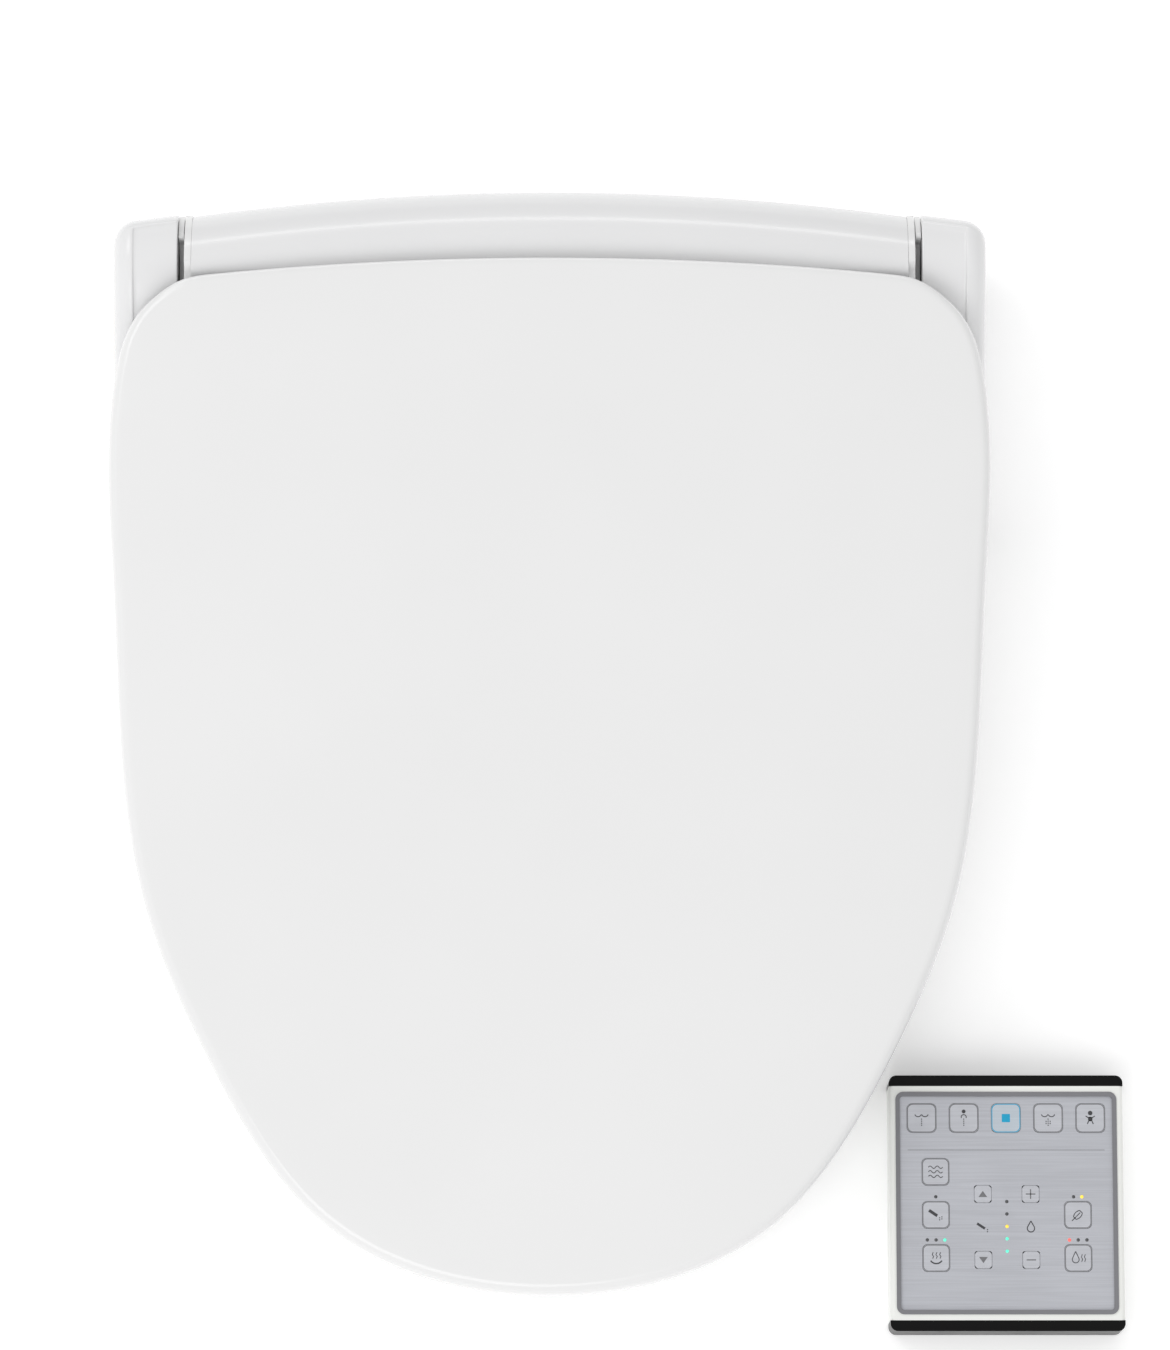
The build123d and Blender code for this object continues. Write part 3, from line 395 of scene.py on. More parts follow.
def rings_to_spine(ring, front_y, rear_y, shares):
    """Rings that shrink from a closed ring onto a straight line down the middle."""
    spine = np.column_stack([np.zeros(len(ring)), np.clip(ring[:, 1], front_y, rear_y)])
    return [ring + (spine - ring) * share for share in shares]


def build_lid():
    """Lid shell: rounded edge, slightly drafted skirt, hollow underside and a gently crowned top."""
    outline = lid_outline()
    into = inward(outline)
    low_y, high_y = outline[:, 1].min(), outline[:, 1].max()
    depth = lid_depth(outline[:, 1])
    rings = []

    def edge_ring(inset, drop):
        place = outline + into * inset
        z = lid_plane_z(place[:, 1]) - LID_CROWN_MM * MM - drop
        rings.append(np.column_stack([place, z]))

    def field(start, drop, shares):
        for share, ring in zip(shares, rings_to_spine(start, low_y + 0.11, high_y - 0.05, shares)):
            crown = LID_CROWN_MM * MM * (1 - (1 - share) ** 2)
            z = lid_plane_z(ring[:, 1]) - LID_CROWN_MM * MM + crown - drop
            rings.append(np.column_stack([ring, z]))

    top_drop = depth * 0.3
    usable = depth - LID_CROWN_MM * MM
    field(outline + into * LID_ROUND_MM * MM, 0, [1.0, 0.9, 0.75, 0.6, 0.45, 0.3, 0.18, 0.1, 0.04])
    for k in range(9):
        turn = math.pi / 2 * k / 8
        edge_ring(LID_ROUND_MM * MM * (1 - math.sin(turn)), top_drop * (1 - math.cos(turn)))
    edge_ring(0.0001, usable * 0.6)
    for inset, lift in LID_FOOT:
        edge_ring(inset, usable - lift)
    edge_ring(0.0034, np.minimum(usable * 0.8, usable - 0.0013))
    inner_drop = np.minimum(LID_SKIN_MM * MM, usable - 0.0014)
    edge_ring(0.0042, inner_drop + 0.0003)
    edge_ring(LID_WALL_INSET, inner_drop)
    field(outline + into * LID_WALL_INSET, LID_SKIN_MM * MM, [0.05, 0.15, 0.35, 0.6, 0.8, 1.0])
    verts = np.vstack(rings)
    piece = add_object("lid_shell", verts, ring_faces(len(rings), len(outline)), 50.0)
    return finish_piece(piece, "lid", "shell_white", ["lid_panel"])


# ---------------------------------------------------------------- hinge bar and pods

BAR_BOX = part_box("hinge_bar_cover")
POD_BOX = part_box("right_pod_cover")
DECK_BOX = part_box("base_deck")
BAR_RADIUS = 0.0284
BAR_FRONT = 0.0259
BAR_WALL = 0.0026
BAR_EDGE = 0.005
BLEND_START = 0.012
BLEND_LENGTH = 0.012
REAR_MID_MM = 25.9
REAR_CORNER_MM = 9.5
BASE_HALF = POD_BOX[1].x


def rear_y(x):
    """Y of the base's bowed rear wall at an x."""
    share = (x / BASE_HALF) ** 2
    return HINGE.y + (REAR_MID_MM - (REAR_MID_MM - REAR_CORNER_MM) * share) * MM


def bow_at(x):
    """How far the base's bow brings the rear of the bar forward at an x."""
    return (REAR_MID_MM - REAR_CORNER_MM) * MM * min(1.0, (x / BASE_HALF) ** 2)


def bar_up(x, forward):
    """Height of the bar's surface above the hinge axis: round at the rear, following the bow."""
    round_top = math.sqrt(max(BAR_RADIUS ** 2 - forward ** 2, 0))
    bowed_at = max(-BAR_RADIUS, forward - bow_at(x))
    bowed_top = math.sqrt(max(BAR_RADIUS ** 2 - bowed_at ** 2, 0))
    blend = float(smooth((forward - BLEND_START) / BLEND_LENGTH))
    return bowed_top + (round_top - bowed_top) * blend


def bar_profile(x):
    """Side view of the hinge bar cover at an x, from the rear foot over the top to the front."""
    back = rear_y(x) - HINGE.y
    foot_up = BAR_BOX[0].z - HINGE.z
    edge_up = bar_up(x, -back)
    low = np.array([back, edge_up - BAR_EDGE])
    high = np.array([back - BAR_EDGE, bar_up(x, -back + BAR_EDGE)])
    corner = np.array([back, edge_up + 0.0012])
    points = [np.array([back, foot_up]), np.array([back, (foot_up + low[1]) / 2])]
    for k in range(9):
        t = k / 8
        points.append((1 - t) ** 2 * low + 2 * t * (1 - t) * corner + t * t * high)
    for forward in np.linspace(-back + BAR_EDGE, BAR_FRONT, 40)[1:]:
        points.append(np.array([-forward, bar_up(x, forward)]))
    points.append(np.array([-BAR_FRONT, DECK_BOX[1].z - HINGE.z]))
    return np.array(points)


def build_hinge_bar():
    """Convex cover between the pods that meets the lid's cheeks at its ends."""
    end = BAR_BOX[1].x + 0.0003
    rings = []
    for x in np.linspace(end, -end, 70):
        profile = bar_profile(x)
        rings.append(np.column_stack([np.full(len(profile), x), profile + np.array([HINGE.y, HINGE.z])]))
    size = len(rings[0])
    verts = np.vstack(rings)
    faces = ring_faces(len(rings), size, closed=False)
    faces.append(list(range(size)))
    faces.append(list(range(len(verts) - size, len(verts))))
    piece = add_object("hinge_bar_shell", verts, faces, 50.0)
    add_wall(piece, BAR_WALL)
    return finish_piece(piece, "base", "base_white", ["hinge_bar_cover"])


def add_wall(piece, thickness):
    """Give an open surface a wall on its inner side."""
    wall = piece.modifiers.new("wall", "SOLIDIFY")
    wall.thickness = thickness
    wall.offset = -1
    wall.use_even_offset = False


POD_SIDE_MM = [(-16.0, 20.0), (-10.0, 25.0), (-2.0, 27.6), (7.0, 28.0), (18.0, 24.8), (38.0, 17.2),
               (60.0, 12.8), (84.0, 9.0), (112.0, 0.2)]


def pod_top_z(y):
    """Height of the pod's top along the side view."""
    forward = (HINGE.y - np.asarray(y)) / MM
    curve = cubic_through(POD_SIDE_MM, 200)
    return HINGE.z + np.minimum(np.interp(forward, curve[:, 0], curve[:, 1]), POD_TOP_MM) * MM


POD_EDGE = 0.0084
POD_REAR_EDGE = 0.0052
POD_FRONT_EDGE = 0.004
POD_RECESS = 0.0007
POD_CORNER = 0.009
POD_FRONT_CORNER = 0.006
POD_TOP_MM = 28.1
POD_WALL = 0.0024
CREASE_STEPS = (0.0002, 0.0004, 0.0007)


def pod_columns():
    """X positions across the right-hand pod, close together where the surface turns."""
    inner, outer = POD_BOX[0].x, POD_BOX[1].x
    near_slot = [inner, inner + 0.0001, inner + 0.0004, inner + 0.0008]
    flat = list(np.linspace(inner + 0.002, outer - POD_EDGE - 0.002, 7))
    crease = [outer - POD_EDGE - step for step in (0.0009, 0.0006, 0.0004, 0.0002, 0.0)]
    bend = [outer - POD_EDGE * (1 - math.sin(math.pi / 2 * k / 14)) for k in range(1, 15)]
    return near_slot + flat + crease + bend


def pod_rows(back, front):
    """Y positions from the rear edge to the front edge of one column."""
    near = [POD_REAR_EDGE * (1 - math.cos(math.pi / 2 * k / 10)) for k in range(11)]
    near += [POD_REAR_EDGE + step for step in CREASE_STEPS]
    fore = [POD_FRONT_EDGE * (1 - math.cos(math.pi / 2 * k / 8)) for k in range(9)]
    fore += [POD_FRONT_EDGE + step for step in CREASE_STEPS]
    middle = np.linspace(back - near[-1], front + fore[-1], 34)[1:-1]
    return [back - d for d in near] + list(middle) + [front + d for d in reversed(fore)]


def pod_vertex(x, y, back, front):
    """Point of the pod's upper surface."""
    outer = POD_BOX[1].x
    side = (outer - x) / POD_EDGE
    rear = (back - y) / POD_REAR_EDGE
    fore = (y - front) / POD_FRONT_EDGE
    drop = POD_EDGE * 1.1 * (1 - quarter(side) * quarter(rear) * quarter(fore))
    panel = smooth((side - 1) / 0.1) * smooth((rear - 1) / 0.15) * smooth((fore - 1) / 0.15)
    slot_round = 0.0004 * (1 - quarter((x - POD_BOX[0].x) / 0.0004))
    return (x, y, float(pod_top_z(y)) - drop - POD_RECESS * panel - slot_round)


def build_pod(side):
    """Side pod: sunk top panel, wide rounded outer edge, crisp inner edge at the hinge slot."""
    outer = POD_BOX[1].x
    grid = []
    for x in pod_columns():
        turn = np.clip((x - outer + POD_CORNER) / POD_CORNER, 0, 1)
        back = rear_y(x) - POD_CORNER * (1 - math.sqrt(1 - turn ** 2))
        bend = np.clip((x - outer + POD_FRONT_CORNER) / POD_FRONT_CORNER, 0, 1)
        front = POD_BOX[0].y + POD_FRONT_CORNER * (1 - math.sqrt(1 - bend ** 2))
        grid.append([pod_vertex(x, y, back, front) for y in pod_rows(back, front)])
    grid = np.array(grid)
    columns, rows = grid.shape[:2]
    verts = grid.reshape(-1, 3)
    faces = ring_faces(columns, rows, closed=False)
    rim = [(c, 0) for c in range(columns)] + [(columns - 1, r) for r in range(1, rows)]
    rim += [(c, rows - 1) for c in range(columns - 2, -1, -1)] + [(0, r) for r in range(rows - 2, 0, -1)]
    foot = np.array([(grid[c, r, 0], grid[c, r, 1], POD_BOX[0].z) for c, r in rim])
    start = len(verts)
    verts = np.vstack([verts, foot])
    for k, (c, r) in enumerate(rim):
        n = (k + 1) % len(rim)
        c2, r2 = rim[n]
        faces.append((c * rows + r, c2 * rows + r2, start + n, start + k))
    verts[:, 0] *= side
    label = "right" if side > 0 else "left"
    piece = add_object("pod_shell_" + label, verts, faces, 55.0)
    add_wall(piece, POD_WALL)
    return finish_piece(piece, "base", "base_white", [label + "_pod_cover"])


# ---------------------------------------------------------------- hinge arms

HUB_RADIUS = 0.022


def lower_to_bar(work, share):
    """Bring the round top of a hinge piece down to the bar's bowed end surface."""
    end = BAR_BOX[1].x
    for vert in work.verts:
        forward, up = HINGE.y - vert.co.y, vert.co.z - HINGE.z
        if math.hypot(forward, up) < HUB_RADIUS or forward > 0.0115 or up < 0.010:
            continue
        round_up = math.sqrt(BAR_RADIUS ** 2 - forward ** 2)
        vert.co.z = HINGE.z + up * share * bar_up(end, forward) / round_up


def rounded_copy(node, name, offset, share):
    """Copy of a hinge node's mesh with its outer round edge bevelled, lowered to the bar's surface."""
    mesh = nodes[node].data.copy()
    mesh.name = name
    work = bmesh.new()
    work.from_mesh(mesh)
    bmesh.ops.remove_doubles(work, verts=work.verts, dist=1e-6)
    bmesh.ops.dissolve_limit(work, angle_limit=math.radians(0.5), verts=work.verts, edges=work.edges)
    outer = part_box(node)[1].x

    def on_rim(vert):
        away = math.hypot(vert.co.y - HINGE.y, vert.co.z - HINGE.z)
        return abs(abs(vert.co.x) - outer) < 1e-5 and away > HUB_RADIUS and vert.co.z > HINGE.z + 0.004

    chosen = [edge for edge in work.edges if on_rim(edge.verts[0]) and on_rim(edge.verts[1])]
    if offset:
        bmesh.ops.bevel(work, geom=chosen, offset=offset, segments=6, profile=0.5, affect="EDGES",
                        clamp_overlap=True)
    lower_to_bar(work, share)
    work.to_mesh(mesh)
    work.free()
    piece = bpy.data.objects.new(name, mesh)
    bpy.context.scene.collection.objects.link(piece)
    mesh.shade_smooth()
    mesh.set_sharp_from_angle(angle=math.radians(35))
    return piece


def build_hinge_arms():
    """The lid's cheeks with the edge beside the slot rounded over, and the seat's arms in the slots."""
    cheeks = rounded_copy("lid_hinge_arms", "lid_cheeks", 0.0024, 1.0)
    finish_piece(cheeks, "lid", "shell_white", ["lid_hinge_arms"])
    arms = rounded_copy("seat_hinge_arms", "seat_arms", 0.0, 0.93)
    finish_piece(arms, "seat", "shell_white", ["seat_hinge_arms"])


# ---------------------------------------------------------------- seat

SEAT_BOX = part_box("seat_top_shell")
SEAT_DROP_MM = 17.0
SEAT_STEP_MM = 118.0
SEAT_INSET_MM = 4.1
SEAT_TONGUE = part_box("seat_hinge_arms")[1].x - 0.0023
DECK_FLOOR = 0.050
OPENING_MIDDLE = Vector((0.0, HINGE.y - 0.255))
OPENING_HALF = 0.106
OPENING_BACK = 0.110
OPENING_FORE = 0.145
TUNNEL_HALF = 0.048
SEAT_WALL = 0.0028
SEAT_DISH = 0.0022
SEAT_ROLL = 0.009
SEAT_EDGE = 0.0055
TUNNEL_WALL = 0.003


def opening_reach(direction):
    """Distance from the opening's middle to its edge along a direction."""
    length = OPENING_BACK if direction[1] > 0 else OPENING_FORE
    return 1 / math.hypot(direction[0] / OPENING_HALF, direction[1] / length)


def opening_y(x):
    """Y of the opening's rear edge at an x."""
    return OPENING_MIDDLE.y + OPENING_BACK * math.sqrt(1 - (x / OPENING_HALF) ** 2)


def seat_columns():
    """Outline points of the seat with the height of the outer and inner lower edge at each."""
    outline = lid_outline(900)
    drawn_in = outline + inward(outline) * SEAT_INSET_MM * MM
    step_y = HINGE.y - SEAT_STEP_MM * MM
    front = drawn_in[drawn_in[:, 1] < step_y - 0.0002]
    angles = np.arctan2(front[:, 0], -(front[:, 1] - OPENING_MIDDLE.y))
    front = front[np.argsort(angles)]
    half = -front[0, 0]
    low = SEAT_BOX[0].z
    rear = SEAT_BOX[1].y
    slant = TUNNEL_HALF / math.sqrt(1 - (TUNNEL_HALF / OPENING_HALF) ** 2) / OPENING_BACK
    mouth = slant * (rear - OPENING_MIDDLE.y)
    columns = [(x, y, low, low) for x, y in front]
    right = [(half, step_y - 0.0001, low, low), (half - 0.0006, step_y, low, low)]
    right += [(x, step_y, low, low) for x in np.linspace(half - 0.005, SEAT_TONGUE + 0.001, 5)]
    right += [(SEAT_TONGUE + 0.0001, step_y, low, low), (SEAT_TONGUE, step_y, DECK_FLOOR, low)]
    right += [(SEAT_TONGUE, y, DECK_FLOOR, low) for y in np.linspace(step_y + 0.001, rear - 0.002, 24)]
    right += [(SEAT_TONGUE - 0.0006, rear - 0.0006, DECK_FLOOR, low)]
    right += [(x, rear, DECK_FLOOR, low) for x in np.linspace(SEAT_TONGUE - 0.002, mouth + 0.0001, 14)]
    right += [(x, rear, DECK_FLOOR, DECK_FLOOR) for x in np.linspace(mouth, 0.002, 20)]
    left = [(-x, y, outer, inner) for x, y, outer, inner in reversed(right)]
    return columns + right + left


def seat_top_z(y, share):
    """Height of the seat's top: parallel to the lid and dished towards the opening."""
    return lid_plane_z(y) - SEAT_DROP_MM * MM - SEAT_DISH * (1 - share) ** 2


def build_seat():
    """Seat ring shell: soft outer edge, dished top, rolled opening edge, walls down to the floor."""
    rings = []
    for x, y, outer_low, inner_low in seat_columns():
        reach = np.array([x - OPENING_MIDDLE.x, y - OPENING_MIDDLE.y])
        length = np.linalg.norm(reach)
        aim = reach / length
        start = opening_reach(aim)
        width = length - start

        def at(distance, drop=None, level=None):
            place = np.array([OPENING_MIDDLE.x, OPENING_MIDDLE.y]) + aim * (start + distance)
            if level is None:
                level = seat_top_z(place[1], distance / width) - drop
            return (place[0], place[1], level)

        column = [at(SEAT_WALL, level=inner_low), at(0.0004, level=inner_low)]
        column += [at(0.0, level=inner_low + 0.0004)]
        column += [at(SEAT_ROLL * (1 - math.sin(t)), SEAT_ROLL * (1 - math.cos(t)))
                   for t in np.linspace(math.pi / 2, 0, 10)]
        column += [at(d, 0.0) for d in np.linspace(SEAT_ROLL, width - SEAT_EDGE, 14)[1:-1]]
        column += [at(width - SEAT_EDGE * (1 - math.sin(t)), SEAT_EDGE * (1 - math.cos(t)))
                   for t in np.linspace(0, math.pi / 2, 9)]
        column += [at(width, level=outer_low + 0.0004), at(width - 0.0004, level=outer_low)]
        column += [at(width - SEAT_WALL, level=outer_low), at(width - SEAT_WALL, 0.006)]
        column += [at(d, SEAT_WALL) for d in np.linspace(width - 0.006, 0.010, 6)] + [at(SEAT_WALL, 0.010)]
        rings.append(column)
    size = len(rings[0])
    rings.append(rings[0])
    verts = np.vstack([np.array(column) for column in rings])
    piece = add_object("seat_shell", verts, ring_faces(len(rings), size), 50.0)
    finish_piece(piece, "seat", "shell_white", ["seat_top_shell"])
    build_tunnel()


def build_tunnel():
    """Side walls and roof of the passage that the nozzle comes through."""
    step_y = HINGE.y - SEAT_STEP_MM * MM
    side_y = opening_y(TUNNEL_HALF)
    top = DECK_FLOOR + TUNNEL_WALL
    for side, label in ((1, "right"), (-1, "left")):
        near, far = side * TUNNEL_HALF, side * (TUNNEL_HALF + TUNNEL_WALL)
        corners = [(near, step_y), (far, step_y), (far, side_y + TUNNEL_WALL / 2), (near, side_y)]
        finish_piece(prism("tunnel_wall_" + label, corners, SEAT_BOX[0].z, top), "seat", "shell_white")
    edge = [(x, opening_y(x)) for x in np.linspace(-TUNNEL_HALF, TUNNEL_HALF, 24)]
    corners = edge + [(TUNNEL_HALF, step_y), (-TUNNEL_HALF, step_y)]
    finish_piece(prism("tunnel_roof", corners, DECK_FLOOR, top), "seat", "shell_white")


def prism(name, corners, low, high):
    """Straight block over a closed outline."""
    count = len(corners)
    verts = [(x, y, z) for z in (low, high) for x, y in corners]
    faces = ring_faces(2, count)
    faces.append(list(range(count)))
    faces.append(list(range(count, 2 * count)))
    return add_object(name, verts, faces, 30.0)


# ---------------------------------------------------------------- remote face prints

FACE_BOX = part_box("remote_face")
FACE_MID = (FACE_BOX[0] + FACE_BOX[1]) / 2
PRINT_MM = 0.04
LARGE_KEY_MM = 10.0
DIVIDER_DROP_MM = 7.6


def node_middle(name):
    """Middle of a CAD node's top, as x, y and z."""
    low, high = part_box(name)
    return Vector(((low.x + high.x) / 2, (low.y + high.y) / 2, high.z))


def at_height(loop, middle, z):
    """Points of a loop in millimetres, placed about a middle at a height above it."""
    return [(middle.x + p[0] * MM, middle.y + p[1] * MM, middle.z + z * MM) for p in loop]


def flat_print(name, loops, middle, body, slot, material):
    """Thin printed shape: closed loops in millimetres about a middle; a pair of loops is a ring."""
    verts, faces = [], []
    for loop in loops:
        outer, inner = loop if isinstance(loop, tuple) else (loop, None)
        base = len(verts)
        count = len(outer)
        verts += at_height(outer, middle, 0.0) + at_height(outer, middle, PRINT_MM)
        pairs = [(i, (i + 1) % count) for i in range(count)]
        faces += [(base + i, base + j, base + count + j, base + count + i) for i, j in pairs]
        if inner is None:
            faces.append([base + i for i in range(count)])
            faces.append([base + count + i for i in range(count)])
            continue
        start = len(verts)
        verts += at_height(inner, middle, 0.0) + at_height(inner, middle, PRINT_MM)
        for i, j in pairs:
            faces.append((start + i, start + j, start + count + j, start + count + i))
            faces.append((base + i, base + j, start + j, start + i))
            faces.append((base + count + i, base + count + j, start + count + j, start + count + i))
    piece = add_object(name, verts, faces, 30.0)
    return finish_piece(piece, body, slot, material=material)


def stroke(points, width):
    """Closed loop around a polyline of constant width, in millimetres."""
    p = np.array(points, float)
    step = np.gradient(p, axis=0)
    step /= np.linalg.norm(step, axis=1)[:, None]
    side = np.column_stack([-step[:, 1], step[:, 0]]) * width / 2
    return np.vstack([p + side, (p - side)[::-1]])


def arc_points(cx, cy, radius, start, end, steps=14):
    """Points along a circular arc, in degrees."""
    angles = np.radians(np.linspace(start, end, steps))
    return [(cx + radius * math.cos(a), cy + radius * math.sin(a)) for a in angles]


def disc(cx, cy, radius, steps=16):
    """Closed circle."""
    return np.array(arc_points(cx, cy, radius, 0, 360 - 360 / steps, steps))


def drops(cx, top, count):
    """Dashes of falling spray below a point."""
    return [stroke([(cx, top - 0.9 * k), (cx, top - 0.9 * k - 0.5)], 0.45) for k in range(count)]


def wisp(x, low, rises, leans, width):
    """Rising wavy line that starts at a point."""
    return stroke([(x, low)] + [(x + lean, rise) for lean, rise in zip(leans, rises)], width)


def drop_outline(cx, cy, radius, tip, start):
    """Closed line of a water drop."""
    tip_point = (cx, tip)
    return [tip_point] + arc_points(cx, cy, radius, start, -180 - start, 18) + [tip_point]


def seated():
    """Two arcs that meet, for a seated figure from behind."""
    size, lift = 1.5, 0.6 + 1.5
    return [stroke(arc_points(side * size, lift, size, 200, 340), 0.4) for side in (-1, 1)]


def rear_wash_symbol():
    """Seated figure over one spray."""
    return seated() + drops(0, -0.2, 4)


def front_wash_symbol():
    """Upright figure over one spray."""
    body = stroke(arc_points(0, 0.4, 1.1, -20, 200), 0.4)
    return [disc(0, 2.9, 0.85), body] + drops(0, -0.2, 4)


def strong_wash_symbol():
    """Seated figure over a wide spray."""
    return rear_wash_symbol() + drops(-0.9, -1.2, 2) + drops(0.9, -1.2, 2)


def child_wash_symbol():
    """Small figure with raised arms."""
    arms = stroke([(-2.0, 0.9), (-0.9, 0.2), (0.9, 0.2), (2.0, 0.9)], 0.45)
    legs = stroke([(-1.3, -2.6), (-0.6, -1.0), (0.6, -1.0), (1.3, -2.6)], 0.45)
    return [disc(0, 2.2, 1.0), disc(0, -0.4, 1.0), arms, legs]


def massage_symbol():
    """Three waves."""
    wave = [(0.31 * k - 3.1, 0.55 * math.sin(k * 0.63)) for k in range(21)]
    return [stroke([(x, y + lift) for x, y in wave], 0.36) for lift in (-2.0, 0.0, 2.0)]


def nozzle_clean_symbol():
    """Nozzle tube that sprays at its tip."""
    tube = stroke([(-3.0, 2.0), (0.6, -0.4)], 1.3)
    return [tube] + drops(1.6, -1.0, 2) + drops(2.6, -0.6, 2)


def seat_heat_symbol():
    """Three wisps over a seat's curve."""
    wisps = [wisp(x, -0.2, (0.7, 1.5, 2.5), (0.45, -0.15, 0.3), 0.38) for x in (-1.6, 0.0, 1.6)]
    return wisps + [stroke(arc_points(0, 0.6, 3.0, 215, 325), 0.6)]


def eco_symbol():
    """Leaf on a stem."""
    leaf = arc_points(1.4, -1.4, 3.4, 100, 170) + arc_points(-1.4, 1.4, 3.4, -80, -10)
    return [stroke(leaf + [leaf[0]], 0.38), stroke([(-2.6, -2.6), (1.0, 1.0)], 0.38)]


def water_heat_symbol():
    """Drop beside two wisps."""
    steam = [wisp(x, -1.6, (-0.5, 0.5, 1.6), (0.4, -0.1, 0.3), 0.36) for x in (1.4, 2.7)]
    return [stroke(drop_outline(-1.2, -0.6, 1.5, 2.9, 35), 0.36)] + steam


def bar_symbol():
    """Level bar of the minus sign."""
    return [rounded_rect(4.2, 0.5, 0.1, 1)]


SYMBOLS = {
    "key_rear_wash": rear_wash_symbol,
    "key_front_wash": front_wash_symbol,
    "key_strong_wash": strong_wash_symbol,
    "key_child_wash": child_wash_symbol,
    "key_massage": massage_symbol,
    "key_nozzle_clean": nozzle_clean_symbol,
    "key_seat_heat": seat_heat_symbol,
    "key_eco": eco_symbol,
    "key_water_heat": water_heat_symbol,
    "key_stop": lambda: [rounded_rect(3.6, 3.6, 0.15, 1)],
    "key_nozzle_back": lambda: [np.array([(-1.9, -1.3), (1.9, -1.3), (0.0, 1.4)])],
    "key_nozzle_forward": lambda: [np.array([(-1.9, 1.3), (0.0, -1.4), (1.9, 1.3)])],
    "key_pressure_up": lambda: bar_symbol() + [rounded_rect(0.5, 4.2, 0.1, 1)],
    "key_pressure_down": bar_symbol,
}


def key_outline(body, middle, size, ink):
    """Printed ring just inside the edge of a large key."""
    outer = rounded_rect(size - 0.2, size - 0.2, size * 0.2)
    inner = rounded_rect(size - 0.9, size - 0.9, size * 0.2 - 0.3)
    flat_print(body + "_outline", [(outer, inner)], middle, body, "key_silver", ink)


def key_seam(body, middle, size):
    """Ring on the face plate that hides the gap round a small key."""
    seam = (rounded_rect(size + 0.5, size + 0.5, 1.2), rounded_rect(size + 0.06, size + 0.06, 1.0))
    level = Vector((middle.x, middle.y, FACE_BOX[1].z - PRINT_MM * MM))
    flat_print(body + "_seam", [seam], level, "remote", "face_silver", MATERIALS["face_silver"])


def build_key_prints():
    """Outline or seam, and symbol, of each key."""
    for body in [b for b in frame["bodies"] if b.startswith("key_")]:
        middle = node_middle(body)
        low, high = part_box(body)
        size = (high.x - low.x) / MM
        is_stop = body == "key_stop"
        if size > LARGE_KEY_MM:
            key_outline(body, middle, size, INK_CYAN if is_stop else INK_GREY)
            ink = INK_CYAN if is_stop else INK
        else:
            key_seam(body, middle, size)
            ink = INK_GREY
        flat_print(body + "_symbol", SYMBOLS[body](), middle, body, "key_silver", ink)


def between(first, second):
    """Middle of the face plate's surface between two keys."""
    middle = (node_middle(first) + node_middle(second)) / 2
    middle.z = FACE_BOX[1].z
    return middle


def build_face_prints():
    """Divider line and small symbols on the face plate."""
    line_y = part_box("key_stop")[0].y - DIVIDER_DROP_MM * MM
    line = Vector((FACE_MID.x, line_y, FACE_BOX[1].z))
    flat_print("face_divider", [rounded_rect(86.0, 0.22, 0.1, 1)], line, "remote", "face_silver", INK_GREY)
    nozzle = [stroke([(-2.6, 1.5), (0.8, -0.7)], 1.1)] + drops(1.9, -0.9, 2)
    middle = between("key_nozzle_back", "key_nozzle_forward")
    flat_print("face_nozzle_symbol", nozzle, middle, "remote", "face_silver", INK)
    drop = stroke(drop_outline(0, -0.6, 1.6, 2.6, 38), 0.45)
    middle = between("key_pressure_up", "key_pressure_down")
    flat_print("face_pressure_symbol", [drop], middle, "remote", "face_silver", INK)


LED_GLOW = {
    "amber": lamp_lens("lamp_amber", (0.95, 0.62, 0.05), 0.8),
    "green": lamp_lens("lamp_green", (0.1, 0.78, 0.5), 0.8),
    "red": lamp_lens("lamp_red", (0.95, 0.12, 0.1), 0.8),
    "dark": lamp_lens("lamp_dark", (0.06, 0.06, 0.065), 0.0),
}
LED_COLUMN = ["dark", "dark", "amber", "green", "green"]
LAMP_COLUMN_HALF = 0.004
LAMP_ROW_GAP = 0.002
LENS_RADIUS_MM = 0.72
LENS_RISE = 0.0003
LENS_FOOT = 0.0008
LENS_SIDES = 20


def led_middles():
    """Middles of the indicator lenses, read from the CAD node's separate solids."""
    work = bmesh.new()
    work.from_mesh(nodes["remote_leds"].data)
    seen, middles = set(), []
    for vert in work.verts:
        if vert.index in seen:
            continue
        stack, group = [vert], []
        seen.add(vert.index)
        while stack:
            v = stack.pop()
            group.append(v.co.copy())
            for linked in v.link_edges:
                other = linked.other_vert(v)
                if other.index not in seen:
                    seen.add(other.index)
                    stack.append(other)
        low = [min(c[k] for c in group) for k in range(3)]
        high = [max(c[k] for c in group) for k in range(3)]
        middles.append(Vector(((low[0] + high[0]) / 2, (low[1] + high[1]) / 2, high[2])))
    work.free()
    unique = []
    for m in sorted(middles, key=lambda m: m.z, reverse=True):
        if all((m.xy - u.xy).length > 0.0008 for u in unique):
            unique.append(m)
    return sorted(unique, key=lambda m: (round(m.x, 4), -m.y))


